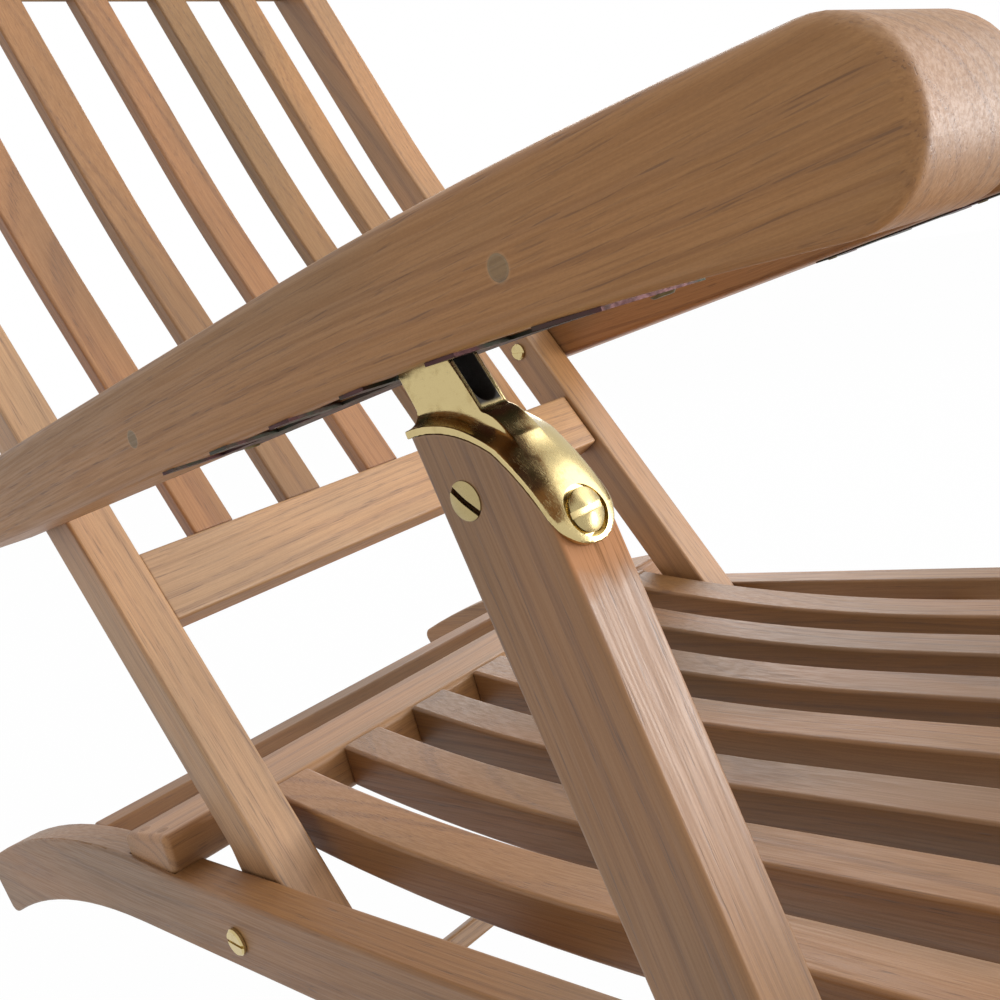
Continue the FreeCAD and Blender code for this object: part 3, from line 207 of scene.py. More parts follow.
class ChairBracket(bpy.types.PropertyGroup):
    """Sizes of a bracket, in the side view of its leg: forward and up from the leg's bolt."""

    middle: FloatProperty(
        name="Middle", description="Distance of the leg's middle from the chair's",
        subtype="DISTANCE", unit="LENGTH", default=279.7 * MM)
    half_width: FloatProperty(
        name="Half width", description="Half the width of the saddle",
        subtype="DISTANCE", unit="LENGTH", default=13.5 * MM)
    fork_half: FloatProperty(
        name="Half fork", description="Half the width of the fork",
        subtype="DISTANCE", unit="LENGTH", default=6.25 * MM)
    slot_half: FloatProperty(
        name="Half slot", description="Half the width of the fork's slot",
        subtype="DISTANCE", unit="LENGTH", default=4.25 * MM)
    rim: FloatProperty(
        name="Rim", description="Thickness of the saddle's rim at the rear",
        subtype="DISTANCE", unit="LENGTH", default=2.7 * MM)
    thin_rim: FloatProperty(
        name="Thin rim", description="Thickness of the rim beside the tongue",
        subtype="DISTANCE", unit="LENGTH", default=1.3 * MM)
    cove_top: FloatProperty(
        name="Cove", description="Height of the coves' upper edge above the leg",
        subtype="DISTANCE", unit="LENGTH", default=7.2 * MM)
    tongue: FloatProperty(
        name="Tongue", description="Thickness of the tongue along its middle",
        subtype="DISTANCE", unit="LENGTH", default=3.3 * MM)
    tongue_end: FloatProperty(
        name="Tongue end", description="Height of the tongue's lower end above the bolt",
        subtype="DISTANCE", unit="LENGTH", default=224.5 * MM)
    hole: FloatProperty(
        name="Recess", description="Radius of the screw's recess in the tongue",
        subtype="DISTANCE", unit="LENGTH", default=8.2 * MM)
    hole_up: FloatProperty(
        name="Recess height", description="Height of the recess above the bolt",
        subtype="DISTANCE", unit="LENGTH", default=234.5 * MM)
    floor: FloatProperty(
        name="Recess floor", description="Thickness of brass left under the recess",
        subtype="DISTANCE", unit="LENGTH", default=0.6 * MM)
    screw: FloatProperty(
        name="Tongue screw", description="Radius of the screw's head in the tongue",
        subtype="DISTANCE", unit="LENGTH", default=6.8 * MM)
    flank_screw: FloatProperty(
        name="Side screw", description="Radius of the screw's head in the leg's outer face",
        subtype="DISTANCE", unit="LENGTH", default=6.4 * MM)
    flank_up: FloatProperty(
        name="Side screw height", description="Height of the side screw above the bolt",
        subtype="DISTANCE", unit="LENGTH", default=250.5 * MM)
    flank_behind: FloatProperty(
        name="Side screw behind", description="How far the side screw stands behind the leg's middle line",
        subtype="DISTANCE", unit="LENGTH", default=8.0 * MM)
    slot_cut: FloatProperty(
        name="Slot", description="Width of the screws' slots",
        subtype="DISTANCE", unit="LENGTH", default=2.1 * MM)
    voxel: FloatProperty(
        name="Casting grain", description="Size of the finest shape that the casting keeps",
        subtype="DISTANCE", unit="LENGTH", default=0.36 * MM)


class ChairStage(bpy.types.PropertyGroup):
    """Floor, light and camera."""

    floor: FloatProperty(
        name="Floor", description="Width of the floor",
        subtype="DISTANCE", unit="LENGTH", default=14.0)
    eye: FloatVectorProperty(
        name="Eye", description="Camera's place, from the middle of the back pivot",
        subtype="TRANSLATION", unit="LENGTH", default=(-0.510529, -0.537303, 0.356809))
    look: FloatVectorProperty(
        name="Look", description="Camera's turn in degrees",
        default=(76.0767, 10.9144, -46.3032))
    lens: FloatProperty(
        name="Lens", description="Focal length on a 36 mm frame", default=40.0686)
    ambient: FloatProperty(
        name="Ambient", description="Strength of the light from all round", default=0.54)
    key: FloatProperty(
        name="Key light", description="Power of the large lamp overhead, in watts", default=14.0)
    window: FloatProperty(
        name="Window light", description="Power of the large lamp at the sitter's left, in watts",
        default=36.0)
    low: FloatProperty(
        name="Low light", description="Power of the lamp near the floor in front, in watts",
        default=18.0)
    rear: FloatProperty(
        name="Rear light", description="Power of the lamp behind the chair, in watts", default=19.0)


class ChairSettings(bpy.types.PropertyGroup):
    """All settings of the chair."""

    teak: PointerProperty(type=ChairTeak)
    metal: PointerProperty(type=ChairMetal)
    bracket: PointerProperty(type=ChairBracket)
    stage: PointerProperty(type=ChairStage)


def settings():
    return bpy.context.scene.steamer_chair


class Finish:
    """A material whose nodes are added one step at a time."""

    def __init__(self, name):
        self.material = bpy.data.materials.new(name)
        self.material.use_nodes = True
        self.tree = self.material.node_tree
        self.shader = self.tree.nodes["Principled BSDF"]

    def feed(self, socket, value):
        """Link an output to a socket, or set the socket's own value."""
        if isinstance(value, bpy.types.NodeSocket):
            self.tree.links.new(value, socket)
        else:
            socket.default_value = value

    def feed_named(self, node, inputs):
        for name, value in inputs.items():
            self.feed(node.inputs[name.replace("_", " ")], value)

    def add(self, kind, options=None, **inputs):
        node = self.tree.nodes.new(kind)
        for name, value in (options or {}).items():
            setattr(node, name, value)
        self.feed_named(node, inputs)
        return node

    def shade(self, **inputs):
        self.feed_named(self.shader, inputs)

    def operate(self, kind, operation, values):
        node = self.add(kind, {"operation": operation})
        for socket, value in zip(node.inputs, values):
            self.feed(socket, value)
        return node.outputs

    def math(self, operation, *values):
        return self.operate("ShaderNodeMath", operation, values)["Value"]

    def vector(self, operation, *values):
        outputs = self.operate("ShaderNodeVectorMath", operation, values)
        return outputs["Value" if operation in ("LENGTH", "DOT_PRODUCT") else "Vector"]

    def noise(self, place, rates, detail=2.0, roughness=0.5):
        """Noise with this many features in a metre along each axis."""
        scaled = self.vector("MULTIPLY", place, rates)
        node = self.add("ShaderNodeTexNoise", Vector=scaled, Scale=1.0, Detail=detail, Roughness=roughness)
        return node.outputs["Fac"]

    def bands(self, distance, detail=2.0):
        """Noise along one line: bands of uneven width."""
        line = {"noise_dimensions": "1D"}
        return self.add("ShaderNodeTexNoise", line, W=distance, Scale=1.0, Detail=detail).outputs["Fac"]

    def span(self, value, low, high, bottom=0.0, top=1.0):
        """Stretch a range of a value to another, smoothly and clamped."""
        smooth = {"interpolation_type": "SMOOTHSTEP"}
        node = self.add("ShaderNodeMapRange", smooth, Value=value,
                        From_Min=low, From_Max=high, To_Min=bottom, To_Max=top)
        return node.outputs["Result"]

    def mix(self, factor, first, second, blend="MIX"):
        node = self.add("ShaderNodeMix", {"data_type": "RGBA", "blend_type": blend})
        for index, value in ((0, factor), (6, first), (7, second)):
            self.feed(node.inputs[index], opaque(value))
        return node.outputs[2]

    def bump(self, height, strength, distance):
        node = self.add("ShaderNodeBump", Height=height, Strength=strength, Distance=distance)
        return node.outputs["Normal"]

    def place(self):
        return self.add("ShaderNodeTexCoord").outputs["Object"]

    def turned_place(self, turn, shift):
        """Object coordinates, turned and then shifted."""
        node = self.add("ShaderNodeMapping", Vector=self.place(), Location=shift, Rotation=turn)
        return node.outputs["Vector"]


def opaque(value):
    """A colour with its alpha; anything else as it is."""
    if isinstance(value, (bpy.types.NodeSocket, float, int)):
        return value
    return (*value, 1.0)


def tinted(colour, tint):
    return tuple(channel * share for channel, share in zip(colour, tint))


def middle_of(node):
    low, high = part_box(node)
    return (low + high) / 2


def board_kind(node):
    """The key in GRAIN that a board's name starts with; the longest one wins."""
    keys = [key for key in GRAIN if node.startswith(key)]
    if not keys:
        raise RuntimeError("no grain is given for %s" % node)
    return max(keys, key=len)


# Where a board lay in its tree: away from the heart, and along the trunk
HEART_AWAY = (0.045, 0.11)
HEART_ALONG = (1.0, 9.0)

# Features of the wood in a metre: twice across the grain, then along it
DRIFT_RATE = (7.0, 7.0, 2.6)
CLOUD_RATE = (16.0, 16.0, 4.2)
PORE_RATE = (1700.0, 1700.0, 75.0)
GRIT_RATE = (2300.0, 2300.0, 900.0)
THREAD_ALONG = 22.0

# How far the rings sway, how long a fibre is drawn out, and how much finer a thread is than a fibre
RING_SWAY = 22 * MM
FIBRE_ALONG = 0.016
THREAD_FINER = 2.6

# Tones over the plain wood, under and over the pores: a texture, its range, the tone's share, its tint
GRAIN_TONES = (
    ("fibres", (0.36, 0.66), 0.36, (0.60, 0.52, 0.46)),
    ("threads", (0.35, 0.65), 0.20, (1.22, 1.20, 1.17)),
    ("clouds", (0.36, 0.66), 0.75, (1.18, 1.08, 0.96)),
    ("clouds", (0.58, 0.30), 0.70, (0.78, 0.78, 0.74)),
)
SURFACE_TONES = (
    ("grit", (0.35, 0.65), 0.16, (0.62, 0.60, 0.58)),
    ("end_grain", (0.72, 0.97), 0.35, (0.74, 0.68, 0.63)),
)
# Painted shade between boards that stand close together: its tint, and how far the ambient occlusion looks
PAINTED_SHADE_TINT = (0.42, 0.34, 0.29)
PAINTED_SHADE_REACH = 70 * MM
TEAK_BUMP = 0.3 * MM

# The sanded patch on a front leg: its features in a metre, how ragged it is, where it ends and begins
FRAY_RATE = (160.0, 160.0, 160.0)
FRAY = 9 * MM
PATCH_BELOW = 12 * MM
PATCH_ABOVE = 2 * MM
PATCH_FACE = (-20.5 * MM, -21.2 * MM)


def grain_place(finish, node, chance):
    """Coordinates in a board with Z along its grain, and how far its surface faces along the grain."""
    way, tilt = GRAIN[board_kind(node)]
    turn_x, turn_y = GRAIN_TURN[way]
    turn = Euler((math.radians(tilt + turn_x), math.radians(turn_y), 0.0))
    away = chance.uniform(*HEART_AWAY)
    side = chance.uniform(0.0, 2 * math.pi)
    heart = Vector((away * math.cos(side), away * math.sin(side), chance.uniform(*HEART_ALONG)))
    place = finish.turned_place(turn, heart - turn.to_matrix() @ middle_of(node))
    normal = finish.add("ShaderNodeTexCoord").outputs["Normal"]
    facing = finish.add("ShaderNodeMapping", {"vector_type": "NORMAL"}, Vector=normal, Rotation=turn)
    along = finish.vector("DOT_PRODUCT", facing.outputs["Vector"], (0.0, 0.0, 1.0))
    return place, finish.math("ABSOLUTE", along)


def teak_figure(finish, node, chance, look):
    """The textures of one board, by name."""
    place, end_grain = grain_place(finish, node, chance)
    drift = finish.noise(place, DRIFT_RATE, 1.0).node.outputs["Color"]
    wander = finish.vector("MULTIPLY", finish.vector("SUBTRACT", drift, (0.5,) * 3), (RING_SWAY,) * 3)
    swayed = finish.vector("ADD", place, wander)
    radius = finish.vector("LENGTH", finish.vector("MULTIPLY", swayed, (1.0, 1.0, 0.0)))
    rings = finish.bands(finish.math("DIVIDE", radius, look.ring), 3.0)
    fine = 1.0 / look.fibre
    finer = THREAD_FINER * fine
    pores = finish.span(finish.noise(place, PORE_RATE, 0.0), 0.60, 0.74)
    return {
        "rings": rings,
        "fibres": finish.noise(swayed, (fine, fine, FIBRE_ALONG * fine), 3.0, 0.6),
        "threads": finish.noise(place, (finer, finer, THREAD_ALONG), 1.0),
        "pores": finish.math("MULTIPLY", pores, finish.span(rings, 0.40, 0.64, 0.1, 1.0)),
        "grit": finish.noise(place, GRIT_RATE, 1.0),
        "clouds": finish.noise(place, CLOUD_RATE, 2.0),
        "end_grain": end_grain,
    }


def toned(finish, colour, figure, tones):
    """A colour under some tones, each where its texture is strong."""
    for texture, (low, high), share, tint in tones:
        colour = finish.mix(finish.span(figure[texture], low, high, 0.0, share), colour, tint, "MULTIPLY")
    return colour


def teak(node):
    """A teak of its own for one board."""
    look = settings().teak
    chance = random.Random(node)
    tint = TINTS[BOARD_TINT.get(node, chance.choice(CHANCE_TINTS))]
    finish = Finish("teak_" + node)
    figure = teak_figure(finish, node, chance, look)

    dark = tinted(look.late, tint)
    colour = finish.mix(finish.span(figure["rings"], 0.47, 0.72, 0.0, 0.50), tinted(look.mean, tint), dark)
    colour = toned(finish, colour, figure, GRAIN_TONES)
    colour = finish.mix(finish.math("MULTIPLY", figure["pores"], 0.46), colour, tuple(look.pore))
    colour = toned(finish, colour, figure, SURFACE_TONES)
    # Paler edges: partly sanding wear, partly a painted highlight on the rounded edges
    colour = finish.mix(edge_wear_and_highlight(finish, look.edge), colour, tinted(look.wear_and_highlight, tint))
    # Painted shade: darker where ambient occlusion finds boards close by
    colour = finish.mix(recess_painted_shade(finish), colour, PAINTED_SHADE_TINT, "MULTIPLY")
    roughness = finish.span(figure["fibres"], 0.3, 0.7, 0.42, 0.56)
    sheen = SHEEN.get(board_kind(node), PLAIN_SHEEN)
    if node.startswith("front_leg"):
        raw = raw_patch(finish)
        streaked = finish.mix(finish.span(figure["fibres"], 0.52, 0.70), tuple(look.raw), dark)
        colour = finish.mix(raw, colour, streaked)
        roughness = finish.math("MULTIPLY_ADD", raw, 0.30, roughness)
        sheen = finish.math("MULTIPLY", sheen, finish.math("MULTIPLY_ADD", raw, -0.80, 1.0))

    raised = finish.math("MULTIPLY", figure["fibres"], 0.6)
    relief = finish.math("SUBTRACT", raised, finish.math("MULTIPLY", figure["pores"], 0.8))
    finish.shade(Base_Color=colour, Roughness=roughness, Specular_IOR_Level=sheen,
                 Normal=finish.bump(relief, 0.22, TEAK_BUMP))
    return finish.material


def edge_wear_and_highlight(finish, reach):
    """How far a point lies on a rounded edge, painted paler there for sanding wear and as a painted highlight:
    where a rounded normal leaves the true one.
    """
    rounded = finish.add("ShaderNodeBevel", {"samples": 4}, Radius=reach)
    flat = finish.add("ShaderNodeNewGeometry").outputs["Normal"]
    leaving = finish.vector("DOT_PRODUCT", rounded.outputs["Normal"], flat)
    return finish.span(leaving, 0.995, 0.86, 0.0, 0.38)


def recess_painted_shade(finish):
    """How much painted shade darkens the wood between boards that stand close together, found by ambient
    occlusion.
    """
    open_share = finish.add("ShaderNodeAmbientOcclusion", {"samples": 4}, Distance=PAINTED_SHADE_REACH).outputs["AO"]
    return finish.span(open_share, 0.75, 0.25, 0.0, 0.60)


def leg_place(finish):
    """Coordinates of the front legs' frame: Y back and Z up from the bolt."""
    turn = Euler((math.radians(LEG_TILT), 0.0, 0.0))
    return finish.turned_place(turn, -(turn.to_matrix() @ JOINTS["front_leg_fold_right"]))


def raw_patch(finish):
    """Where the leg's front was sanded under the bracket's tongue."""
    tongue_end = settings().bracket.tongue_end
    place = leg_place(finish)
    parts = finish.add("ShaderNodeSeparateXYZ", Vector=place)
    ragged = finish.math("MULTIPLY_ADD", finish.noise(place, FRAY_RATE, 3.0), FRAY, parts.outputs["Z"])
    high = finish.span(ragged, tongue_end - PATCH_BELOW, tongue_end + PATCH_ABOVE)
    ahead = finish.span(parts.outputs["Y"], *PATCH_FACE)
    return finish.math("MULTIPLY", finish.math("MULTIPLY", high, ahead), 0.92)


# Features of the metal in a metre, and the depth of its scratches
STAIN_RATE = (170.0, 170.0, 170.0)
SPOT_RATE = (900.0, 900.0, 900.0)
SCRATCH_RATE = (3200.0, 260.0, 900.0)
CAST_RATE = (1500.0, 1500.0, 1500.0)
PLATING_RATE = (60.0, 30.0, 60.0)
RUB_RATE = (500.0, 60.0, 500.0)
BRASS_BUMP = 0.12 * MM
PLATING_BUMP = 0.1 * MM

# How rough polished brass is, and how much rougher it is with no polish
POLISHED = 0.13
UNPOLISHED = 0.4


def brass(name, cast=False, polish=1.0):
    """Brass with fine scratches and a little tarnish; a casting is black inside its fork."""
    look = settings().metal
    finish = Finish(name)
    place = finish.place()
    stain = finish.noise(place, STAIN_RATE, 4.0, 0.6)
    spots = finish.span(finish.noise(place, SPOT_RATE), 0.66, 0.76)
    scratch = finish.noise(place, SCRATCH_RATE)
    dull = finish.math("MULTIPLY_ADD", spots, 0.25, finish.span(stain, 0.50, 0.74, 0.0, 0.45))
    colour = finish.mix(dull, tinted(look.brass, [polish] * 3), tinted(look.tarnish, [polish] * 3))
    smooth = POLISHED + UNPOLISHED * (1.0 - polish)
    roughness = finish.math("ADD", finish.span(stain, 0.35, 0.75, smooth, smooth + 0.14),
                            finish.span(scratch, 0.45, 0.75, 0.0, 0.10))
    metallic = 1.0
    relief = finish.math("MULTIPLY", scratch, 0.25)
    if cast:
        inside = fork_inside(finish)
        grit = finish.math("MULTIPLY", inside, finish.noise(place, CAST_RATE))
        colour = finish.mix(inside, colour, tuple(look.raw_cast))
        roughness = finish.math("MULTIPLY_ADD", inside, 0.45, roughness)
        metallic = finish.math("MULTIPLY_ADD", inside, -0.85, 1.0)
        relief = finish.math("MULTIPLY_ADD", grit, 4.0, relief)
    finish.shade(Base_Color=colour, Metallic=metallic, Roughness=roughness,
                 Normal=finish.bump(relief, 0.35, BRASS_BUMP))
    return finish.material


def fork_inside(finish):
    """1 between the cheeks of a bracket's fork and above the slot's floor."""
    bracket = settings().bracket
    parts = finish.add("ShaderNodeSeparateXYZ", Vector=leg_place(finish))
    away = finish.math("ABSOLUTE", parts.outputs["X"])
    off = finish.math("ABSOLUTE", finish.math("SUBTRACT", away, bracket.middle))
    between = finish.span(off, bracket.slot_half + 0.5 * MM, bracket.slot_half + 0.1 * MM)
    (rear, high), (front, low) = SLOT_FLOOR
    fall = (low - high) / (front - rear)
    level = finish.math("MULTIPLY_ADD", parts.outputs["Y"], fall, parts.outputs["Z"])
    floor = (high - fall * rear) * MM
    return finish.math("MULTIPLY", between, finish.span(level, floor - 1.5 * MM, floor + 0.3 * MM))


def plated_steel(name):
    """Yellow-passivated steel with its red and green sheen."""
    look = settings().metal
    finish = Finish(name)
    place = finish.place()
    sheen = finish.noise(place, PLATING_RATE, 3.0)
    rub = finish.noise(place, RUB_RATE)
    colour = finish.mix(finish.span(sheen, 0.40, 0.60), tuple(look.plating_red), tuple(look.plating_green))
    finish.shade(Base_Color=colour, Metallic=0.8, Roughness=finish.span(rub, 0.3, 0.7, 0.42, 0.60),
                 Normal=finish.bump(rub, 0.2, PLATING_BUMP))
    return finish.material


def wear(thing, material):
    """Give an object one material."""
    thing.data.materials.clear()
    thing.data.materials.append(material)


def slot_of(node):
    for subpart in frame["record"]["subparts"]:
        if subpart["node"] == node:
            return subpart["material_slot"]
    raise RuntimeError("%s has no material slot" % node)


def active(thing):
    """Select one object alone and make it the active one."""
    bpy.ops.object.select_all(action="DESELECT")
    thing.select_set(True)
    bpy.context.view_layer.objects.active = thing


def primitive(add, **options):
    """A new primitive, selected alone."""
    bpy.ops.object.select_all(action="DESELECT")
    add(**options)
    return bpy.context.active_object


def apply_modifier(thing, kind, **options):
    active(thing)
    modifier = thing.modifiers.new(kind.title(), kind)
    for name, value in options.items():
        setattr(modifier, name, value)
    bpy.ops.object.modifier_apply(modifier=modifier.name)


def cut(thing, tool):
    """Take one object's volume out of another's."""
    apply_modifier(thing, "BOOLEAN", operation="DIFFERENCE", solver="EXACT", object=tool)
    bpy.data.objects.remove(tool, do_unlink=True)


def settle(thing, place):
    """Carry an object to its place and leave its origin at the chair's."""
    thing.matrix_world = place
    active(thing)
    bpy.ops.object.transform_apply(location=True, rotation=True, scale=True)


def smooth_at(thing, degrees):
    """Shade smooth, apart from edges sharper than this angle."""
    active(thing)
    bpy.ops.object.shade_smooth_by_angle(angle=math.radians(degrees))


def normals_out(thing):
    active(thing)
    bpy.ops.object.mode_set(mode="EDIT")
    bpy.ops.mesh.select_all(action="SELECT")
    bpy.ops.mesh.normals_make_consistent(inside=False)
    bpy.ops.object.mode_set(mode="OBJECT")


def join(things):
    bpy.ops.object.select_all(action="DESELECT")
    for thing in things:
        thing.select_set(True)
    bpy.context.view_layer.objects.active = things[0]
    bpy.ops.object.join()
    return things[0]


def mirrored(thing, name):
    """A copy on the other side of the chair, with a mesh of its own."""
    other = thing.copy()
    other.data = thing.data.copy()
    other.name = name
    bpy.context.scene.collection.objects.link(other)
    other.data.transform(Matrix.Diagonal((-1.0, 1.0, 1.0, 1.0)))
    normals_out(other)
    return other


def fit_both_legs(right, name, replaced):
    """Name a piece of the right leg, mirror it to the left and tie each to its leg."""
    right.name = name + "_right"
    pair = {"right": right, "left": mirrored(right, name + "_left")}
    for side, thing in pair.items():
        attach(thing, "front_leg_" + side)
        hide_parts(replaced + "_" + side)


def smooth_step(value, low, high):
    share = min(max((value - low) / (high - low), 0.0), 1.0)
    return share * share * (3 - 2 * share)


def leg_point(across, forward, up):
    """A point of the front legs' side-view frame, in the chair's frame."""
    bolt = JOINTS["front_leg_fold_right"]
    tilt = math.radians(LEG_TILT)
    back = -(forward * math.cos(tilt) - up * math.sin(tilt))
    rise = forward * math.sin(tilt) + up * math.cos(tilt)
    return Vector((across, bolt.y + back, bolt.z + rise))


def axes(spot, along, out):
    """A placement with its X and Z axes given."""
    turn = Matrix((along, out.cross(along), out)).transposed().to_4x4()
    return Matrix.Translation(spot) @ turn


class LegTop:
    """The rounded top of a front leg, in millimetres: two arcs and the straight front below them."""

    top_centre = (-23.985, 228.478)
    top_radius = 46.5
    top_turn = (2.1, 47.32)
    shoulder_centre = (-56.772, 216.242)
    shoulder_radius = 80.0
    shoulder_turn = (56.84, 77.395)
    front = 21.3
    front_up = 233.7

    def __init__(self, end):
        self.end = end / MM
        self.first = self.top_radius * math.radians(self.top_turn[1] - self.top_turn[0])
        self.second = self.shoulder_radius * math.radians(self.shoulder_turn[1] - self.shoulder_turn[0])
        self.length = self.first + self.second + self.front_up - self.end

    def at(self, along):
        """Forward, up and the direction out, this far along from the rear."""
        if along <= self.first:
            turn = math.radians(self.top_turn[0]) + along / self.top_radius
            centre, radius = self.top_centre, self.top_radius
        elif along <= self.first + self.second:
            turn = math.radians(self.shoulder_turn[0]) + (along - self.first) / self.shoulder_radius
            centre, radius = self.shoulder_centre, self.shoulder_radius
        else:
            return self.front, self.front_up - (along - self.first - self.second), 1.0, 0.0
        out = (math.sin(turn), math.cos(turn))
        return centre[0] + radius * out[0], centre[1] + radius * out[1], out[0], out[1]


# Where the casting changes over the leg's top, in millimetres forward of the bolt
RIM_THINS = (-5.0, 18.0)
CREST_FALLS = (3.0, 14.5)
CROWN_GROWS = (3.0, 15.0)
CROWN_POWER = 2.6

# The skin before it is cast: faces across and along, least half width at its tip, and play on the wood
SKIN_ACROSS = 81
SKIN_ALONG = 200
TIP_HALF = 0.2
WOOD_PLAY = 0.05

# Side view of the fork's post by ahead and above, and the line of its slot's floor, in millimetres
POST = {
    (False, False): (-20.3, 274.0),
    (True, False): (7.6, 264.0),
    (True, True): (0.4, 297.0),
    (False, True): (-23.7, 298.5),
}
SLOT_FLOOR = ((-22.3, 282.0), (5.0, 275.5))

# Which way the side screw's slot points in the leg's side view: forward and up
FLANK_SLOT = (0.6, -0.8)

# How far the tools reach that cut the slot and the recess, and how many sides they have
SLOT_REACH = 60 * MM
RECESS_REACH = 12 * MM
TOOL_SIDES = 96


def bracket_height(bracket, forward, off):
    """How high the casting stands over the leg, this far forward and off its middle."""
    half = bracket.half_width / MM
    fork = bracket.fork_half / MM
    rim_change = (bracket.thin_rim - bracket.rim) / MM
    crest_change = (bracket.tongue - bracket.cove_top) / MM
    rim = bracket.rim / MM + rim_change * smooth_step(forward, *RIM_THINS)
    crest = bracket.cove_top / MM + crest_change * smooth_step(forward, *CREST_FALLS)
    away = abs(off)
    cove = crest
    if away > fork:
        share = min((away - fork) / (half - fork), 1.0)
        cove = rim + (crest - rim) * (1 - math.sqrt(1 - (1 - share) ** 2))
    crown = rim + (crest - rim) * (1 - (away / half) ** CROWN_POWER)
    return cove + (crown - cove) * smooth_step(forward, *CROWN_GROWS)


def bracket_skin(bracket):
    """Saddle, coves and tongue as one sheet over the leg's top, closed underneath."""
    leg_top = LegTop(bracket.tongue_end)
    half = bracket.half_width / MM
    skin = primitive(bpy.ops.mesh.primitive_grid_add, size=2.0,
                     x_subdivisions=SKIN_ACROSS, y_subdivisions=SKIN_ALONG)
    bpy.ops.object.mode_set(mode="EDIT")
    bpy.ops.mesh.select_all(action="SELECT")
    bpy.ops.mesh.extrude_region_move(TRANSFORM_OT_translate={"value": (0.0, 0.0, -1.0)})
    bpy.ops.object.mode_set(mode="OBJECT")
    round_start = leg_top.length - half
    for vertex in skin.data.vertices:
        along = (vertex.co.y + 1) / 2 * leg_top.length
        past = max(along - round_start, 0.0)
        off = vertex.co.x * math.sqrt(max(half ** 2 - past ** 2, TIP_HALF ** 2))
        forward, up, out_forward, out_up = leg_top.at(along)
        height = bracket_height(bracket, forward, off) if vertex.co.z > -0.5 else WOOD_PLAY
        vertex.co = leg_point(-bracket.middle + off * MM, (forward + height * out_forward) * MM,
                              (up + height * out_up) * MM)
    return skin


def bracket_post(bracket):
    """The fork before its slot is cut."""
    post = primitive(bpy.ops.mesh.primitive_cube_add, size=2.0)
    for vertex in post.data.vertices:
        forward, up = POST[vertex.co.y > 0, vertex.co.z > 0]
        vertex.co = leg_point(-bracket.middle + vertex.co.x * bracket.fork_half, forward * MM, up * MM)
    return post


def fork_slots(bracket):
    """The slot between the fork's cheeks, as two tools: a box and its round floor."""
    rear, front = [leg_point(-bracket.middle, forward * MM, up * MM) for forward, up in SLOT_FLOOR]
    way = (front - rear).normalized()
    across = Vector((1.0, 0.0, 0.0))
    spot = (rear + front) / 2 + way.cross(across) * bracket.slot_half
    place = axes(spot, across, way)
    box = primitive(bpy.ops.mesh.primitive_cube_add, size=1.0)
    size = Matrix.Diagonal((2 * bracket.slot_half, SLOT_REACH, SLOT_REACH, 1.0))
    settle(box, place @ Matrix.Translation((0.0, SLOT_REACH / 2, 0.0)) @ size)
    floor = primitive(bpy.ops.mesh.primitive_cylinder_add, vertices=TOOL_SIDES,
                      radius=bracket.slot_half, depth=SLOT_REACH)
    settle(floor, place)
    return box, floor


def tongue_place(bracket):
    """Axes on the recess's floor in the tongue: Z forward out of the leg, X across."""
    spot = leg_point(-bracket.middle, LegTop.front * MM + bracket.floor, bracket.hole_up)
    tilt = math.radians(LEG_TILT)
    out = Vector((0.0, -math.cos(tilt), math.sin(tilt)))
    return axes(spot, Vector((1.0, 0.0, 0.0)), out)


def flank_place(bracket):
    """Axes at the screw in the leg's outer face: Z out of the leg, X along the slot."""
    spot = leg_point(-bracket.middle - bracket.half_width, -bracket.flank_behind, bracket.flank_up)
    along = leg_point(0.0, *FLANK_SLOT) - leg_point(0.0, 0.0, 0.0)
    return axes(spot, along, Vector((-1.0, 0.0, 0.0)))


def recess(bracket):
    """The round hole in the tongue, as a tool."""
    tool = primitive(bpy.ops.mesh.primitive_cylinder_add, vertices=TOOL_SIDES,
                     radius=bracket.hole, depth=RECESS_REACH)
    settle(tool, tongue_place(bracket) @ Matrix.Translation((0.0, 0.0, RECESS_REACH / 2)))
    return tool


def cast_bracket(bracket):
    """The right leg's casting: skin and post run together, then slotted, smoothed and recessed."""
    casting = join([bracket_skin(bracket), bracket_post(bracket)])
    normals_out(casting)
    apply_modifier(casting, "REMESH", mode="VOXEL", voxel_size=bracket.voxel)
    for tool in fork_slots(bracket):
        cut(casting, tool)
    apply_modifier(casting, "REMESH", mode="VOXEL", voxel_size=bracket.voxel)
    apply_modifier(casting, "SMOOTH", factor=0.5, iterations=6)
    cut(casting, recess(bracket))
    if not casting.data.polygons:
        raise RuntimeError("the bracket has no faces")
    smooth_at(casting, 40)
    return casting


# Heights of the screws' heads: a straight rim, the low cone over it, and the slot's depth
DOMED_HEAD = {"rim": 2.2 * MM, "rise": 1.3 * MM, "slot_depth": 1.7 * MM}
FLAT_HEAD = {"rim": 0.5 * MM, "rise": 0.5 * MM, "slot_depth": 1.1 * MM}
HEAD_SIDES = 128
CONE_TOP = 0.12
HEAD_EDGE = 0.22 * MM


def screw_head(radius, slot_width, rim, rise, slot_depth):
    """A turned head: a round rim under a low cone, with a sawn slot along X."""
    head = primitive(bpy.ops.mesh.primitive_circle_add, vertices=HEAD_SIDES, radius=radius, fill_type="NGON")
    bpy.ops.object.mode_set(mode="EDIT")
    bpy.ops.mesh.select_all(action="SELECT")
    for height in (rim, rise):
        bpy.ops.mesh.extrude_region_move(TRANSFORM_OT_translate={"value": (0.0, 0.0, height)})
    bpy.ops.transform.resize(value=(CONE_TOP, CONE_TOP, 1.0))
    bpy.ops.object.mode_set(mode="OBJECT")
    normals_out(head)
    saw = primitive(bpy.ops.mesh.primitive_cube_add, size=1.0)
    size = Matrix.Diagonal((3 * radius, slot_width, 2 * slot_depth, 1.0))
    settle(saw, Matrix.Translation((0.0, 0.0, rim + rise)) @ size)
    cut(head, saw)
    apply_modifier(head, "BEVEL", width=HEAD_EDGE, segments=2, limit_method="ANGLE",
                   angle_limit=math.radians(40))
    smooth_at(head, 35)
    return head


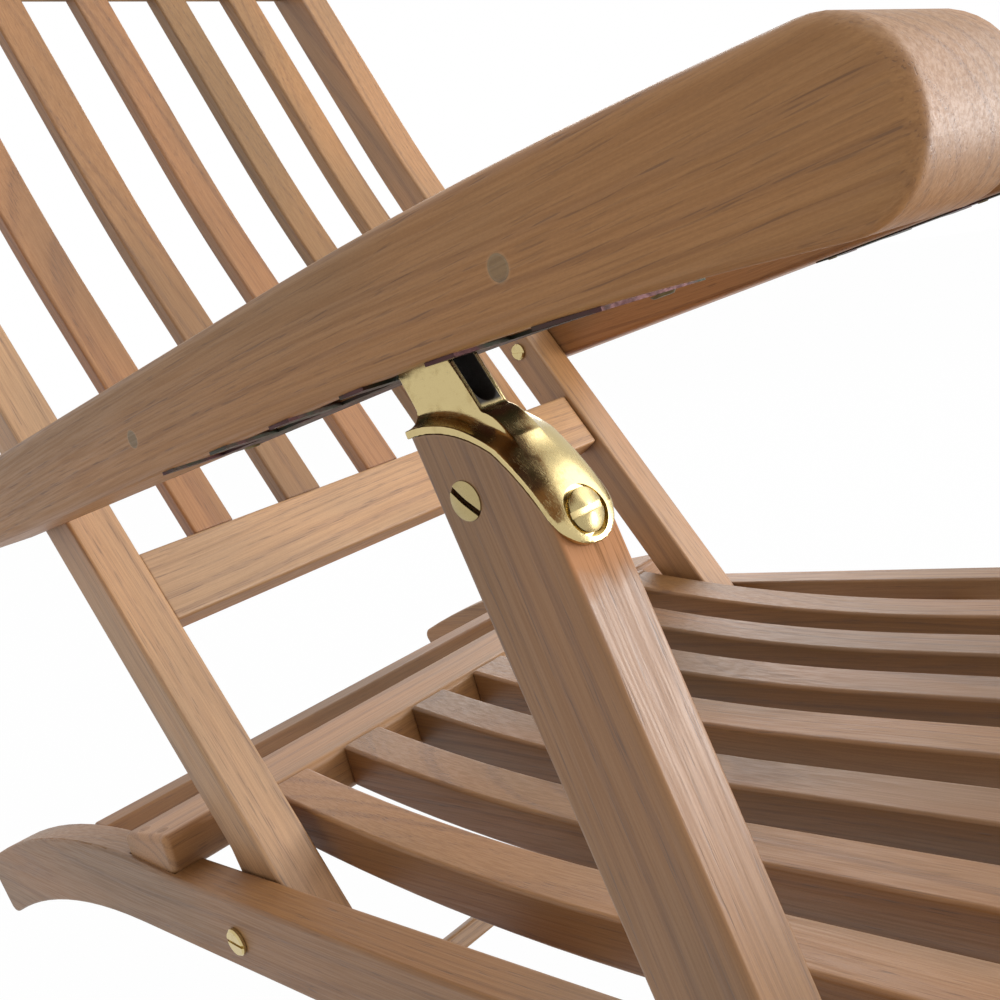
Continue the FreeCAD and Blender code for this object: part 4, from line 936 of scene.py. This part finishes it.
class CHAIR_OT_teak(bpy.types.Operator):
    """Give every wooden piece a teak of its own"""

    bl_idname = "steamer_chair.teak"
    bl_label = "Teak Boards"

    def execute(self, context):
        for node, thing in frame["nodes"].items():
            if slot_of(node) == "teak":
                wear(thing, teak(node))
        return {"FINISHED"}


class CHAIR_OT_fittings(bpy.types.Operator):
    """Give the bolts, screws and plates their brass and plated steel"""

    bl_idname = "steamer_chair.fittings"
    bl_label = "Fittings"

    def execute(self, context):
        metals = {"brass": brass("brass_fittings"), "plated_steel": plated_steel("plated_steel")}
        hidden = brass("brass_plate_screws", polish=0.3)
        for node, thing in frame["nodes"].items():
            if slot_of(node) in metals:
                wear(thing, hidden if node.startswith("plate_screws") else metals[slot_of(node)])
        return {"FINISHED"}


class CHAIR_OT_brackets(bpy.types.Operator):
    """Model the cast brass bracket on each front leg"""

    bl_idname = "steamer_chair.brackets"
    bl_label = "Leg Brackets"

    def execute(self, context):
        casting = cast_bracket(settings().bracket)
        wear(casting, brass("brass_casting", cast=True))
        fit_both_legs(casting, "bracket_casting", "leg_bracket")
        return {"FINISHED"}


class CHAIR_OT_screws(bpy.types.Operator):
    """Turn the screw in each bracket's tongue and the one in the leg's outer face"""

    bl_idname = "steamer_chair.screws"
    bl_label = "Bracket Screws"

    def execute(self, context):
        bracket = settings().bracket
        domed = screw_head(bracket.screw, bracket.slot_cut, **DOMED_HEAD)
        settle(domed, tongue_place(bracket))
        flat = screw_head(bracket.flank_screw, bracket.slot_cut, **FLAT_HEAD)
        settle(flat, flank_place(bracket))
        heads = join([domed, flat])
        if not heads.data.polygons:
            raise RuntimeError("the screws have no heads")
        wear(heads, brass("brass_screws", polish=0.74))
        fit_both_legs(heads, "bracket_screw_heads", "bracket_screws")
        return {"FINISHED"}


# Each lamp's place and target from the middle of the back pivot, and its width, in metres
LAMPS = {
    "key": ((0.2, -1.1, 2.7), (0.0, 0.0, 0.0), 3.0),
    "window": ((2.2, -1.8, 1.2), (0.0, 0.0, 0.0), 2.4),
    "low": ((1.1, -1.52, 0.18), (-0.28, -0.4, 0.2), 0.85),
    "rear": ((1.8, 1.46, 1.35), (0.0, 0.0, 0.0), 1.4),
}
CLIP_START = 10 * MM

# The floor's paper: two greys, its features in a metre, and the share of white where it is seen
WHITE = (1.0, 1.0, 1.0, 1.0)
PAPER_GREYS = ((0.60, 0.60, 0.60), (0.63, 0.63, 0.63))
PAPER_RATE = (300.0, 300.0, 300.0)
PAPER_WHITE = 0.985


def background_seen(tree):
    """1 for the rays that see the background: straight, in a reflection or through a surface."""
    path = tree.nodes.new("ShaderNodeLightPath")
    seen = path.outputs["Is Camera Ray"]
    for ray in ("Is Glossy Ray", "Is Transmission Ray"):
        either = tree.nodes.new("ShaderNodeMath")
        either.operation = "MAXIMUM"
        tree.links.new(seen, either.inputs[0])
        tree.links.new(path.outputs[ray], either.inputs[1])
        seen = either.outputs["Value"]
    return seen


def lay_floor(stage):
    """A plain pale floor, which is white where it is seen and grey for the light that it throws back."""
    floor = primitive(bpy.ops.mesh.primitive_plane_add, size=stage.floor)
    floor.name = "floor"
    finish = Finish("floor_paper")
    grain = finish.noise(finish.place(), PAPER_RATE)
    finish.shade(Base_Color=finish.mix(grain, *PAPER_GREYS), Roughness=0.9)
    glow = finish.add("ShaderNodeEmission", Strength=1.0, Color=WHITE)
    mix = finish.add("ShaderNodeMixShader")
    seen = finish.math("MULTIPLY", background_seen(finish.tree), PAPER_WHITE)
    for socket, value in zip(mix.inputs, (seen, finish.shader.outputs["BSDF"], glow.outputs["Emission"])):
        finish.feed(socket, value)
    finish.feed(finish.tree.nodes["Material Output"].inputs["Surface"], mix.outputs["Shader"])
    wear(floor, finish.material)


def light_world(stage):
    """Even light from all round, and white where the background is seen."""
    world = bpy.data.worlds.new("studio")
    bpy.context.scene.world = world
    world.use_nodes = True
    tree = world.node_tree
    background = tree.nodes["Background"]
    background.inputs["Color"].default_value = WHITE
    strength = tree.nodes.new("ShaderNodeMapRange")
    strength.inputs["To Min"].default_value = stage.ambient
    strength.inputs["To Max"].default_value = 1.0
    tree.links.new(background_seen(tree), strength.inputs["Value"])
    tree.links.new(strength.outputs["Result"], background.inputs["Strength"])


def hang_lamp(name, place, target, width, power):
    lamp = bpy.data.lights.new(name, "AREA")
    lamp.shape = "DISK"
    lamp.size = width
    lamp.energy = power
    thing = bpy.data.objects.new(name, lamp)
    thing.location = place
    thing.rotation_euler = (target - place).to_track_quat("-Z", "Y").to_euler()
    bpy.context.scene.collection.objects.link(thing)


def set_camera(stage, pivot):
    camera = bpy.data.cameras.new("camera")
    camera.lens = stage.lens
    camera.clip_start = CLIP_START
    eye = bpy.data.objects.new("camera", camera)
    eye.location = pivot + Vector(stage.eye)
    eye.rotation_euler = [math.radians(angle) for angle in stage.look]
    bpy.context.scene.collection.objects.link(eye)
    bpy.context.scene.camera = eye


class CHAIR_OT_stage(bpy.types.Operator):
    """Lay the floor, hang the lamps and set the camera"""

    bl_idname = "steamer_chair.stage"
    bl_label = "Stage"

    def execute(self, context):
        stage = settings().stage
        pivot = JOINTS["recline"]
        lay_floor(stage)
        light_world(stage)
        powers = {"key": stage.key, "window": stage.window, "low": stage.low, "rear": stage.rear}
        for name, (place, target, width) in LAMPS.items():
            hang_lamp(name, pivot + Vector(place), pivot + Vector(target), width, powers[name])
        set_camera(stage, pivot)
        context.scene.view_settings.view_transform = "Standard"
        return {"FINISHED"}


class CHAIR_PT_panel(bpy.types.Panel):
    """Steps of the steamer chair, in order"""

    bl_idname = "CHAIR_PT_panel"
    bl_label = "Steamer Chair"
    bl_space_type = "VIEW_3D"
    bl_region_type = "UI"
    bl_category = "Steamer Chair"

    def draw(self, context):
        for operator in STEPS:
            self.layout.operator(operator.bl_idname)


STEPS = (CHAIR_OT_teak, CHAIR_OT_fittings, CHAIR_OT_brackets, CHAIR_OT_screws, CHAIR_OT_stage)
GROUPS = (ChairTeak, ChairMetal, ChairBracket, ChairStage, ChairSettings)
CLASSES = (*GROUPS, *STEPS, CHAIR_PT_panel)


def register():
    for entry in CLASSES:
        bpy.utils.register_class(entry)
    bpy.types.Scene.steamer_chair = PointerProperty(type=ChairSettings)


def unregister():
    del bpy.types.Scene.steamer_chair
    for entry in reversed(CLASSES):
        bpy.utils.unregister_class(entry)


def main():
    register()
    bpy.ops.steamer_chair.teak()
    bpy.ops.steamer_chair.fittings()
    bpy.ops.steamer_chair.brackets()
    bpy.ops.steamer_chair.screws()
    bpy.ops.steamer_chair.stage()


if __name__ == "__main__":
    main()
